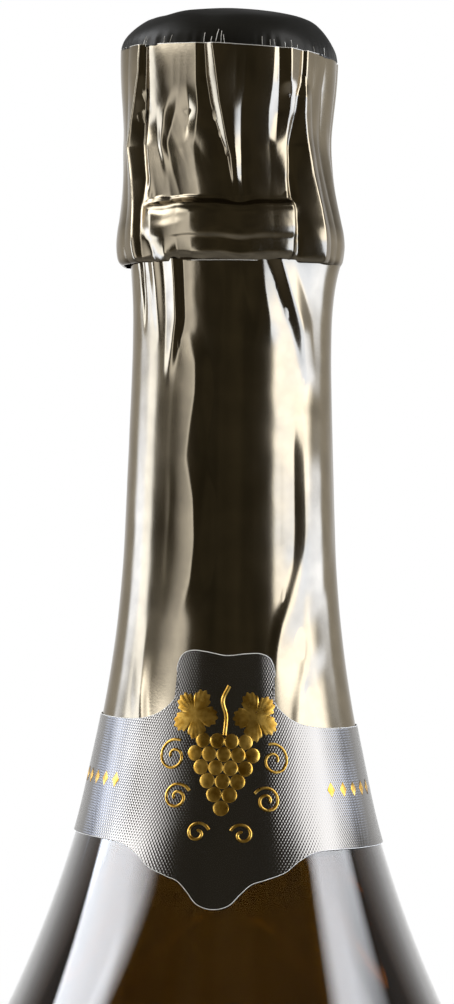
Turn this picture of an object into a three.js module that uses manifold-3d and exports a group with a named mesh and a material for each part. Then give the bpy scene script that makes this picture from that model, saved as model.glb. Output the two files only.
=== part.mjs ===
// Sparkling wine bottle: thick green glass, wine, an agglomerated cork with two natural discs, a wire cage
// with its plaque, a foil capsule in three pieces, a collar label and two body labels.
// Millimetres, +Z up, origin at the centre of the standing ring. The front of the labels looks along -Y.
import * as THREE from "three";
import { mergeVertices } from "three/addons/utils/BufferGeometryUtils.js";
import Module from "manifold-3d";

const wasm = await Module();
wasm.setup();

const radians = THREE.MathUtils.degToRad;
const smoothstep = THREE.MathUtils.smoothstep;

// Glass body
const GLASS_HEIGHT = 300; // standing ring to mouth
const BODY_DIAMETER = 88.4;
const GLASS_WALL = 4;
const HEEL_RADIUS = 8;
const STANDING_RING_WIDTH = 5;
const PUNT_DEPTH = 27;
const BASE_THICKNESS = 6;
const SHOULDER_RADIUS = 60;
const FLARE_RADIUS = 190;
const FLARE_DROP = 60.7; // mouth to the point where the neck begins to flare
const NECK_TAPER = 2.15; // degrees to the axis

// Glass finish, from the mouth down
const BORE_DIAMETER = 17.8;
const MOUTH_ROUND = 0.8;
const LIP_HEIGHT = 7;
const LIP_ROUND = 1.8;
const LIP_SETBACK = 1.2; // lip inside the ring
const RECESS_HEIGHT = 2.1;
const RECESS_DEPTH = 1.3; // behind the lip
const RING_DIAMETER = 30.8;
const RING_HEIGHT = 6.2;
const RING_ROUND = 1.6;
const RING_OVERHANG = 1.05; // ring outside the neck
const ROUND_SWEEP = 60; // degrees of a rounded edge of ring or lip before its flat side

// Wine
const FILL_DROP = 75; // mouth to the level of the wine
const WINE_GAP = 0.3;

// Cork
const CORK_DEPTH = 24; // in the bore
const CORK_FIT = 0.15;
const BORE_SPARE = 6; // straight bore left under the cork
const CORK_DISC_THICKNESS = 6;
const GLUE_LINE = 0.1;
const HEAD_HEIGHT = 18.2;
const HEAD_INSET = 0.2; // head inside the lip
const HEAD_TOP_ROUND = 3.5;
const HEAD_LOWER_ROUND = 2;
const HEAD_SEAT = 0.2; // over the mouth
const CORK_CHAMFER = 0.6;

// Wire cage
const FRAME_WIRE = 0.9;
const BELT_WIRE = 1.1;
const WIRE_GAP = 0.2;
const LEG_COUNT = 4;
const LEG_FIRST_ANGLE = 45; // degrees from +X
const TOP_RING_ANGLE = 35; // degrees round the shoulder of the head
const LEG_STRAIGHT_END = 4; // above the mouth, where a leg starts to spread
const HOOK_SWEEP = 110; // degrees round the belt
const PLAQUE_THICKNESS = 0.45;
const PLAQUE_GAP = 0.15;
const LOOP_STEM_LENGTH = 11;
const LOOP_TWISTS = 2;
const LOOP_STRAND_OFFSET = 0.7; // strand's centre to the stem's axis
const LOOP_EYE_WIDTH = 6.4;
const LOOP_EYE_HEIGHT = 10;
const LOOP_EYE_OPENING = 80; // degrees of the eye left open over the stem
const LOOP_LEAN = 2; // degrees towards the cork

// Foil capsule
const FOIL_WALL = 0.2;
const FOIL_CLEARANCE = 0.2; // to the cage and from piece to piece
const HEAD_SLACK = 1.2;
const WAIST_SLACK = 0.25;
const WAIST_RISE = 2; // above the mouth
const HEM_SLACK = 0.6;
const SEAM_DROP = 4.2; // plaque's top to the seam of hood and top disc
const DOME_RISE = 2.5; // plaque's top to the top of the foil
const TUCK_DEPTH = 2.5; // top disc's edge inside the hood
const SLEEVE_FIT = 0.15; // to the glass
const SLEEVE_SHOULDER = 2.2; // how far the sleeve's top stands off the neck
const SLEEVE_GATHER = 4; // height over which it falls back by two thirds
const SLEEVE_END_DROP = 97; // mouth to the sleeve's hidden lower edge
const FOLD_COUNT = 12;
const FOLD_HALF_WIDTH = 11; // degrees
const FOLD_WANDER = 7; // degrees off even spacing
const FOLD_WANDER_STEP = 2.4; // radians of the wander's wave from fold to fold
const FOLD_UNEVENNESS = 0.6; // share of its height that the lowest fold lacks
const FOLD_UNEVENNESS_STEP = 1.7; // radians of that wave from fold to fold
const HOOD_FOLD_HEIGHT = 0.8;
const SLEEVE_FOLD_HEIGHT = 0.6;
const SLEEVE_FOLD_LENGTH = 24;
const LOOP_BULGE_SPREAD = 2.5; // width of the hood's bulge over the loop, in loop widths

// Collar label
const LABEL_WALL = 0.2;
const LABEL_FIT = 0.3;
const COLLAR_BAND_DROP = 98.6; // mouth to the middle of the band
const COLLAR_BAND_HEIGHT = 18;
const COLLAR_WRAP = 330; // degrees
const COLLAR_TURN = -3.7; // degrees from the front, to the left
const COLLAR_TILT = 2.8; // degrees, right side lower
const CREST_FOOT_HALF_WIDTH = 12.4;
const CREST_FOOT_RISE = 3.7;
const CREST_HALF_WIDTH = 7.4;
const CREST_RISE = 7.5;
const CREST_EDGE = 1.1; // width over which the crest rises
const PENDANT_SHOULDER_HALF_WIDTH = 13.6;
const PENDANT_SHOULDER_DROP = 4.7;
const PENDANT_HALF_WIDTH = 6.2;
const PENDANT_DROP = 4.5;

// Body labels
const FRONT_LABEL_WIDTH = 92;
const FRONT_LABEL_HEIGHT = 76;
const BACK_LABEL_WIDTH = 60;
const BACK_LABEL_HEIGHT = 56;
const BODY_LABEL_MIDDLE = 72; // above the standing ring
const BODY_LABEL_CORNER = 5;

// Fineness of the round surfaces, in segments, columns, rows or steps
const BODY_SEGMENTS = 40;
const TOP_SEGMENTS = 32; // cork, cage and top disc
const FOIL_COLUMNS = 48;
const FOIL_ROWS = 10;
const SLEEVE_ROW_POWER = 1.6; // rows get closer towards the sleeve's gathered top
const COLLAR_COLUMNS = 52;
const COLLAR_ROWS = 5;
const COLLAR_EVEN_SHARE = 0.6; // of the columns' spread; the rest moves them towards the front
const BODY_LABEL_COLUMNS = 20;
const BODY_LABEL_ROWS = 3;
const PUNT_STEPS = 4;
const FLARE_STEPS = 8;
const INSIDE_STEPS = 6;
const SHOULDER_STEPS = 5;
const ROUND_STEPS = 3;
const SMALL_ROUND_STEPS = 2;
const DOME_STEPS = 6;
const WIRE_SIDES = 6;
const LEG_STEPS = 22;
const HOOK_STEPS = 4;
const LOOP_STEPS = 60;
const LOOP_STEPS_PER_TWIST = 8;
const LOOP_EYE_STEPS = 10;
const MERGE_DISTANCE = 0.001; // mm, between vertices that are one

const FRONT = radians(-90);
const BACK = radians(90);

// Heights and radii that follow from the driving dimensions

const mouth = GLASS_HEIGHT;
const bodyRadius = BODY_DIAMETER / 2;
const boreRadius = BORE_DIAMETER / 2;
const ringRadius = RING_DIAMETER / 2;
const lipRadius = ringRadius - LIP_SETBACK;
const recessRadius = lipRadius - RECESS_DEPTH;
const ringTop = mouth - LIP_HEIGHT - RECESS_HEIGHT;
const ringBottom = ringTop - RING_HEIGHT;
const taper = radians(NECK_TAPER);
const neckRadiusAtRing = ringRadius - RING_OVERHANG;

// The flare and the shoulder are two tangent arcs, so one angle fixes where they join.
const flareTop = mouth - FLARE_DROP;
const flareTopRadius = neckRadiusAtRing + (ringBottom - flareTop) * Math.tan(taper);
const flareCentre = new THREE.Vector2(
  flareTopRadius + FLARE_RADIUS * Math.cos(taper),
  flareTop + FLARE_RADIUS * Math.sin(taper),
);
const joinAngle = Math.acos(
  (flareCentre.x - (bodyRadius - SHOULDER_RADIUS)) / (FLARE_RADIUS + SHOULDER_RADIUS),
);
const shoulderCentre = new THREE.Vector2(
  bodyRadius - SHOULDER_RADIUS,
  flareCentre.y - (FLARE_RADIUS + SHOULDER_RADIUS) * Math.sin(joinAngle),
);
const joinHeight = flareCentre.y - FLARE_RADIUS * Math.sin(joinAngle);
const puntRadius = bodyRadius - HEEL_RADIUS - STANDING_RING_WIDTH;

// Outer radius of the glass between the heel and the ring, at a height.
function glassRadius(z) {
  if (z >= flareTop) return neckRadiusAtRing + (ringBottom - z) * Math.tan(taper);
  if (z >= joinHeight) return flareCentre.x - Math.sqrt(FLARE_RADIUS ** 2 - (flareCentre.y - z) ** 2);
  if (z >= shoulderCentre.y) {
    return shoulderCentre.x + Math.sqrt(SHOULDER_RADIUS ** 2 - (z - shoulderCentre.y) ** 2);
  }
  return bodyRadius;
}

// Helpers for profiles and solids

// Points on an arc of a profile, from one angle to another, both ends included.
function arc(centreX, centreY, radius, from, to, steps) {
  return Array.from({ length: steps + 1 }, (_, i) => {
    const angle = from + ((to - from) * i) / steps;
    return new THREE.Vector2(centreX + radius * Math.cos(angle), centreY + radius * Math.sin(angle));
  });
}

const at = (radius, z) => new THREE.Vector2(radius, z);

// A solid of revolution about +Z from a profile of (radius, height) points.
function revolve(profile, segments = TOP_SEGMENTS) {
  return new THREE.LatheGeometry(profile, segments).rotateX(Math.PI / 2);
}

// A thin sheet as a closed solid. place(u, v, side) gives a point; u runs round, v runs up, side is 0 on the
// inner face and 1 on the outer face. A closed sheet joins its last column to its first.
function sheet(columns, rows, closed, place) {
  const across = closed ? columns : columns + 1;
  const positions = [];
  for (const side of [0, 1]) {
    for (let j = 0; j <= rows; j++) {
      for (let i = 0; i < across; i++) positions.push(...place(i / columns, j / rows, side).toArray());
    }
  }
  const vertex = (side, i, j) => (side * (rows + 1) + j) * across + (i % across);
  const faces = [];
  const quad = (a, b, c, d) => faces.push(a, b, c, a, c, d);
  for (let i = 0; i < columns; i++) {
    for (let j = 0; j < rows; j++) {
      quad(vertex(1, i, j), vertex(1, i + 1, j), vertex(1, i + 1, j + 1), vertex(1, i, j + 1));
      quad(vertex(0, i, j), vertex(0, i, j + 1), vertex(0, i + 1, j + 1), vertex(0, i + 1, j));
    }
    quad(vertex(1, i, 0), vertex(0, i, 0), vertex(0, i + 1, 0), vertex(1, i + 1, 0));
    quad(vertex(1, i, rows), vertex(1, i + 1, rows), vertex(0, i + 1, rows), vertex(0, i, rows));
  }
  for (let j = 0; j < rows && !closed; j++) {
    quad(vertex(1, 0, j), vertex(1, 0, j + 1), vertex(0, 0, j + 1), vertex(0, 0, j));
    quad(vertex(1, columns, j), vertex(0, columns, j), vertex(0, columns, j + 1), vertex(1, columns, j + 1));
  }
  const geometry = new THREE.BufferGeometry();
  geometry.setAttribute("position", new THREE.Float32BufferAttribute(positions, 3));
  geometry.setIndex(faces);
  geometry.computeVertexNormals();
  return geometry;
}

function polar(radius, angle, z) {
  return new THREE.Vector3(radius * Math.cos(angle), radius * Math.sin(angle), z);
}

// Round wire along a curve, with closed ends.
function wire(curve, diameter, steps) {
  const section = new THREE.Shape(arc(0, 0, diameter / 2, 0, 2 * Math.PI, WIRE_SIDES).slice(0, -1));
  return new THREE.ExtrudeGeometry(section, { steps, extrudePath: curve, bevelEnabled: false });
}

// Wire bent into a closed ring about +Z.
function wireRing(radius, z, diameter) {
  return revolve(arc(radius, z, diameter / 2, 0, 2 * Math.PI, WIRE_SIDES));
}

// Joins geometries that run into each other into one solid.
function join(geometries) {
  const solids = geometries.map((geometry) => {
    const bare = geometry.clone();
    bare.deleteAttribute("normal");
    bare.deleteAttribute("uv");
    const merged = mergeVertices(bare, MERGE_DISTANCE);
    return new wasm.Manifold(
      new wasm.Mesh({
        numProp: 3,
        vertProperties: merged.attributes.position.array,
        triVerts: new Uint32Array(merged.index.array),
      }),
    );
  });
  const joined = solids.reduce((whole, piece) => whole.add(piece)).getMesh();
  const geometry = new THREE.BufferGeometry();
  geometry.setAttribute("position", new THREE.BufferAttribute(joined.vertProperties, 3));
  geometry.setIndex(new THREE.BufferAttribute(joined.triVerts, 1));
  geometry.computeVertexNormals();
  return geometry;
}

const bottle = new THREE.Group();

function place(name, geometry, finish, parent = bottle) {
  const mesh = new THREE.Mesh(geometry, new THREE.MeshStandardMaterial(finish));
  mesh.name = name;
  parent.add(mesh);
}

// Glass

// Height of the punt's surface over its rim, as a share of its depth: a smooth bell.
const bell = (share) => Math.cos((Math.PI / 2) * share) ** 2;

// The punt's bell from the axis to its rim, raised by a height.
function puntCurve(raise) {
  return Array.from({ length: PUNT_STEPS + 1 }, (_, i) => {
    const share = i / PUNT_STEPS;
    return at(share * puntRadius, raise + PUNT_DEPTH * bell(share));
  });
}

// Inside of the bottle from the base's crown up to the top of the flare, drawn in by a clearance.
function insideProfile(clearance, endAngle) {
  const floor = BASE_THICKNESS + clearance;
  const wall = GLASS_WALL + clearance;
  const radius = bodyRadius - wall;
  return [
    ...puntCurve(floor),
    ...arc(radius - HEEL_RADIUS, floor + HEEL_RADIUS, HEEL_RADIUS, -Math.PI / 2, 0, ROUND_STEPS),
    ...arc(shoulderCentre.x, shoulderCentre.y, SHOULDER_RADIUS - wall, 0, joinAngle, SHOULDER_STEPS),
    ...arc(
      flareCentre.x,
      flareCentre.y,
      FLARE_RADIUS + wall,
      Math.PI + joinAngle,
      Math.PI + endAngle,
      INSIDE_STEPS,
    ).slice(1),
  ];
}

function glassProfile() {
  const heel = arc(bodyRadius - HEEL_RADIUS, HEEL_RADIUS, HEEL_RADIUS, -Math.PI / 2, 0, ROUND_STEPS);
  const shoulder = arc(shoulderCentre.x, shoulderCentre.y, SHOULDER_RADIUS, 0, joinAngle, SHOULDER_STEPS);
  const flare = arc(
    flareCentre.x,
    flareCentre.y,
    FLARE_RADIUS,
    Math.PI + joinAngle,
    Math.PI + taper,
    FLARE_STEPS,
  ).slice(1);
  const ringMiddle = ringRadius - RING_ROUND;
  const lipMiddle = lipRadius - LIP_ROUND;
  const sweep = radians(ROUND_SWEEP);
  return [
    ...puntCurve(0),
    ...heel,
    ...shoulder,
    ...flare,
    at(neckRadiusAtRing, ringBottom),
    ...arc(ringMiddle, ringBottom + RING_ROUND, RING_ROUND, -sweep, 0, SMALL_ROUND_STEPS),
    ...arc(ringMiddle, ringTop - RING_ROUND, RING_ROUND, 0, sweep, SMALL_ROUND_STEPS),
    at(recessRadius, ringTop),
    at(recessRadius, ringTop + RECESS_HEIGHT),
    ...arc(lipMiddle, mouth - LIP_HEIGHT + LIP_ROUND, LIP_ROUND, -sweep, 0, SMALL_ROUND_STEPS),
    ...arc(lipMiddle, mouth - LIP_ROUND, LIP_ROUND, 0, Math.PI / 2, ROUND_STEPS),
    ...arc(
      boreRadius + MOUTH_ROUND,
      mouth - MOUTH_ROUND,
      MOUTH_ROUND,
      Math.PI / 2,
      Math.PI,
      SMALL_ROUND_STEPS,
    ),
    at(boreRadius, mouth - CORK_DEPTH - BORE_SPARE),
    ...insideProfile(0, taper).reverse(),
  ];
}

place("glass_bottle", revolve(glassProfile(), BODY_SEGMENTS), {
  color: 0x2e3a1c,
  roughness: 0.05,
  metalness: 0,
  transparent: true,
  opacity: 0.6,
});

// Wine

function wineProfile() {
  const level = mouth - FILL_DROP;
  const levelAngle = Math.asin((flareCentre.y - level) / (FLARE_RADIUS + GLASS_WALL + WINE_GAP));
  const profile = insideProfile(WINE_GAP, levelAngle);
  return [...profile, at(0, level)];
}

place("wine", revolve(wineProfile(), BODY_SEGMENTS), {
  color: 0xd8b45a,
  roughness: 0.02,
  metalness: 0,
  transparent: true,
  opacity: 0.5,
});

// Cork

const shankRadius = boreRadius - CORK_FIT;
const shankBottom = mouth - CORK_DEPTH;
const headRadius = lipRadius - HEAD_INSET;
const headBottom = mouth + HEAD_SEAT;
const headTop = headBottom + HEAD_HEIGHT;
const headRoundCentre = at(headRadius - HEAD_TOP_ROUND, headTop - HEAD_TOP_ROUND);
const discPitch = CORK_DISC_THICKNESS + GLUE_LINE;

function corkProfile() {
  return [
    at(0, shankBottom + 2 * discPitch),
    at(shankRadius, shankBottom + 2 * discPitch),
    at(shankRadius, headBottom),
    ...arc(
      headRadius - HEAD_LOWER_ROUND,
      headBottom + HEAD_LOWER_ROUND,
      HEAD_LOWER_ROUND,
      -Math.PI / 2,
      0,
      ROUND_STEPS,
    ),
    ...arc(headRoundCentre.x, headRoundCentre.y, HEAD_TOP_ROUND, 0, Math.PI / 2, ROUND_STEPS),
    at(0, headTop),
  ];
}

const corkFinish = { color: 0xb98f5e, roughness: 0.85, metalness: 0 };
place("cork_body", revolve(corkProfile()), corkFinish);

const discBottoms = { cork_disc_lower: shankBottom, cork_disc_upper: shankBottom + discPitch };
for (const [name, bottom] of Object.entries(discBottoms)) {
  const top = bottom + CORK_DISC_THICKNESS;
  const profile = [
    at(0, bottom),
    at(shankRadius - CORK_CHAMFER, bottom),
    at(shankRadius, bottom + CORK_CHAMFER),
    at(shankRadius, top),
    at(0, top),
  ];
  place(name, revolve(profile), { color: 0xc79f6c, roughness: 0.85, metalness: 0 });
}

// Wire cage

const frameWireRadius = FRAME_WIRE / 2;
const legRound = HEAD_TOP_ROUND + WIRE_GAP + frameWireRadius;
const legHeadRadius = headRoundCentre.x + legRound;
const legRingRadius = ringRadius + WIRE_GAP + frameWireRadius;
const beltRadius = neckRadiusAtRing + WIRE_GAP + BELT_WIRE / 2;
const beltHeight = ringBottom - WIRE_GAP - BELT_WIRE / 2;
const hookRadius = BELT_WIRE / 2 + WIRE_GAP + frameWireRadius;
const topRingAngle = radians(TOP_RING_ANGLE);

// One leg in the (radius, height) plane: round the head, down its side, out over the ring and under the belt.
function legCurve(angle) {
  const outline = [
    ...arc(headRoundCentre.x, headRoundCentre.y, legRound, topRingAngle, 0, SMALL_ROUND_STEPS),
    at(legHeadRadius, mouth + LEG_STRAIGHT_END),
    at(legRingRadius, ringTop - RING_ROUND),
    at(legRingRadius, ringBottom + RING_ROUND),
    ...arc(beltRadius, beltHeight, hookRadius, 0, -radians(HOOK_SWEEP), HOOK_STEPS),
  ];
  return new THREE.CatmullRomCurve3(
    outline.map((point) => polar(point.x, angle, point.y)),
    false,
    "centripetal",
  );
}

const topRingRadius = headRoundCentre.x + legRound * Math.cos(topRingAngle);
const topRingHeight = headRoundCentre.y + legRound * Math.sin(topRingAngle);
const frameParts = [wireRing(topRingRadius, topRingHeight, FRAME_WIRE)];
for (let leg = 0; leg < LEG_COUNT; leg++) {
  const angle = radians(LEG_FIRST_ANGLE) + (2 * Math.PI * leg) / LEG_COUNT;
  frameParts.push(wire(legCurve(angle), FRAME_WIRE, LEG_STEPS));
}
const wireFinish = { color: 0xb9babb, roughness: 0.3, metalness: 1 };
place("cage_frame", join(frameParts), wireFinish);
place("cage_belt", wireRing(beltRadius, beltHeight, BELT_WIRE), wireFinish);

// The plaque follows the head's top and stops short of the top ring.
const plaqueEdge = topRingAngle + Math.asin((frameWireRadius + WIRE_GAP) / legRound);
const plaqueInner = HEAD_TOP_ROUND + PLAQUE_GAP;
const plaqueOuter = plaqueInner + PLAQUE_THICKNESS;
const plaqueTop = headTop + PLAQUE_GAP + PLAQUE_THICKNESS;
place(
  "cage_plaque",
  revolve([
    at(0, headTop + PLAQUE_GAP),
    ...arc(headRoundCentre.x, headRoundCentre.y, plaqueInner, Math.PI / 2, plaqueEdge, ROUND_STEPS),
    ...arc(headRoundCentre.x, headRoundCentre.y, plaqueOuter, plaqueEdge, Math.PI / 2, ROUND_STEPS),
    at(0, plaqueTop),
  ]),
  { color: 0x2b2a2c, roughness: 0.35, metalness: 1 },
);

// The loop is one wire: up the stem, round the eye and back down the stem as the second strand.
const loopStemRadius = LOOP_STRAND_OFFSET + frameWireRadius;
const loopAxisRadius = beltRadius + BELT_WIRE / 2 + WIRE_GAP + loopStemRadius;

function loopCurve() {
  const steps = LOOP_TWISTS * LOOP_STEPS_PER_TWIST;
  const strand = (phase) =>
    Array.from({ length: steps + 1 }, (_, i) => {
      const angle = phase + (2 * Math.PI * i) / LOOP_STEPS_PER_TWIST;
      return polar(LOOP_STRAND_OFFSET, angle, (LOOP_STEM_LENGTH * i) / steps);
    });
  const halfOpening = radians(LOOP_EYE_OPENING / 2);
  const eyeStart = -Math.PI / 2 + halfOpening;
  const eyeEnd = (3 * Math.PI) / 2 - halfOpening;
  const eye = arc(0, 0, 1, eyeStart, eyeEnd, LOOP_EYE_STEPS).map(
    (point) =>
      new THREE.Vector3(
        (point.x * LOOP_EYE_WIDTH) / 2,
        0,
        LOOP_STEM_LENGTH + (LOOP_EYE_HEIGHT / 2) * (1 + point.y),
      ),
  );
  const points = [...strand(0), ...eye, ...strand(Math.PI).reverse()];
  return new THREE.CatmullRomCurve3(points, false, "centripetal");
}

const loopGroup = new THREE.Group();
loopGroup.position.copy(polar(loopAxisRadius, BACK, beltHeight));
loopGroup.rotation.x = radians(LOOP_LEAN);
bottle.add(loopGroup);
place("cage_loop", wire(loopCurve(), FRAME_WIRE, LOOP_STEPS), wireFinish, loopGroup);

// Foil capsule

// Soft vertical folds: outward ridges, unevenly spread and unevenly high. Returns 0 to 1.
function folds(angle, phase) {
  let height = 0;
  for (let fold = 0; fold < FOLD_COUNT; fold++) {
    const wander = radians(FOLD_WANDER) * Math.sin(FOLD_WANDER_STEP * fold + phase);
    const centre = (2 * Math.PI * fold) / FOLD_COUNT + wander;
    const away = Math.abs(Math.atan2(Math.sin(angle - centre), Math.cos(angle - centre)));
    const lack = 0.5 - 0.5 * Math.cos(FOLD_UNEVENNESS_STEP * fold + phase);
    const strength = 1 - FOLD_UNEVENNESS * lack;
    height = Math.max(height, strength * (1 - smoothstep(away, 0, radians(FOLD_HALF_WIDTH))));
  }
  return height;
}

const foilStack = FOIL_CLEARANCE + FOIL_WALL;
const seamHeight = plaqueTop - SEAM_DROP;
const hemHeight = beltHeight - hookRadius - frameWireRadius - FOIL_CLEARANCE;
const hemRadius = beltRadius + hookRadius + frameWireRadius + foilStack + HEM_SLACK;
const hoodHeadRadius = legHeadRadius + frameWireRadius + foilStack + HEAD_SLACK;
const hoodRingRadius = legRingRadius + frameWireRadius + foilStack;
const waistHeight = mouth + WAIST_RISE;
const legSpread = (legRingRadius - legHeadRadius) / (mouth + LEG_STRAIGHT_END - ringTop + RING_ROUND);
const legWaistRadius = legHeadRadius + legSpread * (LEG_STRAIGHT_END - WAIST_RISE);
const waistRadius = legWaistRadius + frameWireRadius + foilStack + WAIST_SLACK;

// Outer outline of the hood from its hem up to the seam.
const hoodOutline = new THREE.SplineCurve([
  at(hemRadius, hemHeight),
  at(hemRadius, beltHeight),
  at((hemRadius + hoodRingRadius) / 2, (ringBottom + ringTop) / 2),
  at(hoodRingRadius, ringTop),
  at(waistRadius, waistHeight),
  at(hoodHeadRadius, (waistHeight + seamHeight) / 2),
  at(hoodHeadRadius, seamHeight),
]);

// The hood bulges over the wire loop, by what the loop's stem and eye need at that height.
function loopBulge(angle, z, radius) {
  const lean = (z - beltHeight) * Math.tan(radians(LOOP_LEAN));
  const loopTop = beltHeight + LOOP_STEM_LENGTH + LOOP_EYE_HEIGHT;
  const halfWidth = LOOP_EYE_WIDTH / 2 + FRAME_WIRE;
  const need = loopAxisRadius - lean + loopStemRadius + foilStack - radius;
  const across = Math.abs(loopAxisRadius * Math.cos(angle));
  const near = 1 - smoothstep(across, halfWidth, LOOP_BULGE_SPREAD * halfWidth);
  const behind = Math.sin(angle) > 0 ? near : 0;
  const up = 1 - smoothstep(z, loopTop + FRAME_WIRE, loopTop + LOOP_EYE_HEIGHT / 2);
  return Math.max(need, 0) * behind * up;
}

const hoodSheet = sheet(FOIL_COLUMNS, FOIL_ROWS, true, (u, v, side) => {
  const angle = 2 * Math.PI * u;
  const point = hoodOutline.getPoint(v);
  const fold = HOOD_FOLD_HEIGHT * folds(angle, 0) * Math.sin(Math.PI * v) ** 2;
  const bulge = loopBulge(angle, point.y, point.x);
  return polar(point.x + Math.max(fold, bulge) - (1 - side) * FOIL_WALL, angle, point.y);
});
const foilFinish = { color: 0x7d7567, roughness: 0.35, metalness: 1 };
place("foil_hood", hoodSheet, foilFinish);

const domeBase = seamHeight + FOIL_CLEARANCE;
const domeHeight = SEAM_DROP + DOME_RISE - FOIL_CLEARANCE;
const tuckRadius = hoodHeadRadius - FOIL_WALL - FOIL_CLEARANCE;
const ellipse = (radius, height, from, to) =>
  arc(0, 0, 1, from, to, DOME_STEPS).map((point) => at(radius * point.x, domeBase + height * point.y));
place(
  "foil_top_disc",
  revolve([
    at(tuckRadius - FOIL_WALL, seamHeight - TUCK_DEPTH),
    at(tuckRadius, seamHeight - TUCK_DEPTH),
    at(tuckRadius, domeBase),
    ...ellipse(hoodHeadRadius, domeHeight, 0, Math.PI / 2),
    ...ellipse(tuckRadius - FOIL_WALL, domeHeight - FOIL_WALL, Math.PI / 2, 0),
    at(tuckRadius - FOIL_WALL, seamHeight - TUCK_DEPTH),
  ]),
  { color: 0x1d1c1e, roughness: 0.45, metalness: 0.6 },
);

const sleeveTop = hemHeight - FOIL_CLEARANCE;
const sleeveBottom = mouth - SLEEVE_END_DROP;
const sleeveSheet = sheet(FOIL_COLUMNS, FOIL_ROWS, true, (u, v, side) => {
  const angle = 2 * Math.PI * u;
  const z = sleeveTop - (sleeveTop - sleeveBottom) * (1 - v) ** SLEEVE_ROW_POWER;
  const down = sleeveTop - z;
  const standOff = SLEEVE_SHOULDER * Math.exp(-down / SLEEVE_GATHER);
  const reach = Math.min(down / SLEEVE_FOLD_LENGTH, 1);
  const fold = SLEEVE_FOLD_HEIGHT * folds(angle, 1) * Math.sin(Math.PI * Math.sqrt(reach)) ** 2;
  return polar(glassRadius(z) + SLEEVE_FIT + standOff + fold + side * FOIL_WALL, angle, z);
});
place("foil_neck_sleeve", sleeveSheet, foilFinish);

// Labels

// 1 inside a half width, falling smoothly to 0 over an edge outside it.
function plateau(distance, halfWidth, edge) {
  return 1 - smoothstep(Math.abs(distance), halfWidth, halfWidth + edge);
}

const collarMiddle = mouth - COLLAR_BAND_DROP;
const collarOffset = SLEEVE_FIT + FOIL_WALL + LABEL_FIT;
const collarRadius = glassRadius(collarMiddle) + collarOffset;

// Upper and lower edge of the collar over the band's middle line, at a distance along the band.
function collarEdges(along) {
  const footWidth = CREST_FOOT_HALF_WIDTH - CREST_HALF_WIDTH;
  const crestFoot = CREST_FOOT_RISE * plateau(along, CREST_HALF_WIDTH, footWidth);
  const crest = CREST_RISE * plateau(along, CREST_HALF_WIDTH - CREST_EDGE, CREST_EDGE);
  const pendantShoulder =
    PENDANT_SHOULDER_DROP *
    plateau(along, PENDANT_HALF_WIDTH, PENDANT_SHOULDER_HALF_WIDTH - PENDANT_HALF_WIDTH);
  const pendant = PENDANT_DROP * plateau(along, 0, PENDANT_HALF_WIDTH);
  return {
    top: COLLAR_BAND_HEIGHT / 2 + crestFoot + crest,
    bottom: -COLLAR_BAND_HEIGHT / 2 - pendantShoulder - pendant,
  };
}

const collarSheet = sheet(COLLAR_COLUMNS, COLLAR_ROWS, false, (u, v, side) => {
  const share = 2 * u - 1;
  const spread = COLLAR_EVEN_SHARE * share + (1 - COLLAR_EVEN_SHARE) * share ** 3;
  const turn = (radians(COLLAR_WRAP) / 2) * spread;
  const edges = collarEdges(turn * collarRadius);
  const up = edges.bottom + (edges.top - edges.bottom) * v;
  const slope = Math.tan(radians(COLLAR_TILT));
  const z = collarMiddle + up - slope * collarRadius * Math.sin(turn);
  const angle = FRONT + radians(COLLAR_TURN) + turn + (slope * up) / collarRadius;
  return polar(glassRadius(z) + collarOffset + side * LABEL_WALL, angle, z);
});
const labelFinish = { color: 0x3a3a3c, roughness: 0.5, metalness: 0 };
place("neck_label", collarSheet, labelFinish);

// A body label with round corners, stuck to the glass and centred on an angle.
function bodyLabel(width, height, angle) {
  return sheet(BODY_LABEL_COLUMNS, BODY_LABEL_ROWS, false, (u, v, side) => {
    const share = Math.sin((Math.PI / 2) * (2 * u - 1)); // closer columns at the corners
    const along = (share * width) / 2;
    const intoCorner = Math.max(Math.abs(along) - (width / 2 - BODY_LABEL_CORNER), 0);
    const cut = BODY_LABEL_CORNER - Math.sqrt(BODY_LABEL_CORNER ** 2 - intoCorner ** 2);
    const z = BODY_LABEL_MIDDLE + (height / 2 - cut) * (2 * v - 1);
    const radius = glassRadius(z) + LABEL_FIT + side * LABEL_WALL;
    return polar(radius, angle + along / bodyRadius, z);
  });
}

place("front_label", bodyLabel(FRONT_LABEL_WIDTH, FRONT_LABEL_HEIGHT, FRONT), labelFinish);
place("back_label", bodyLabel(BACK_LABEL_WIDTH, BACK_LABEL_HEIGHT, BACK), labelFinish);

export default bottle;
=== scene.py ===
"""Looks of a sealed sparkling wine bottle, built round its CAD frame.

Sizes are millimetres from the centre of the standing ring and become metres where a mesh is made.
Azimuths are degrees from the front, which looks along -Y, and grow towards the right, +X.
"""

import logging
import math
from collections.abc import Callable, Iterable, Sequence
from dataclasses import dataclass
from enum import Enum

import bmesh
import bpy
import numpy as np
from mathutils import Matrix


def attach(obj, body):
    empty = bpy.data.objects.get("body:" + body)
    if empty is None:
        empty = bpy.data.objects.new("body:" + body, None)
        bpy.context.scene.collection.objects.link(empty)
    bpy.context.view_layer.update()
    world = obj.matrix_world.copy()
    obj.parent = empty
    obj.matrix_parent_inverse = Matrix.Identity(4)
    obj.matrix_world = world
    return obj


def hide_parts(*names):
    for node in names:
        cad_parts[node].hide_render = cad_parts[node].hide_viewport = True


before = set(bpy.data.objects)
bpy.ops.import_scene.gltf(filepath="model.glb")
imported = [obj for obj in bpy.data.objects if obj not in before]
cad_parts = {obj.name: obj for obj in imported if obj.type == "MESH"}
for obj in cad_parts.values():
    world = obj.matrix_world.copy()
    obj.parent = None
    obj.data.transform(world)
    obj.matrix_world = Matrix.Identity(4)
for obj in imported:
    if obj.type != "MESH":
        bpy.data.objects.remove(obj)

MM = 0.001
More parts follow.
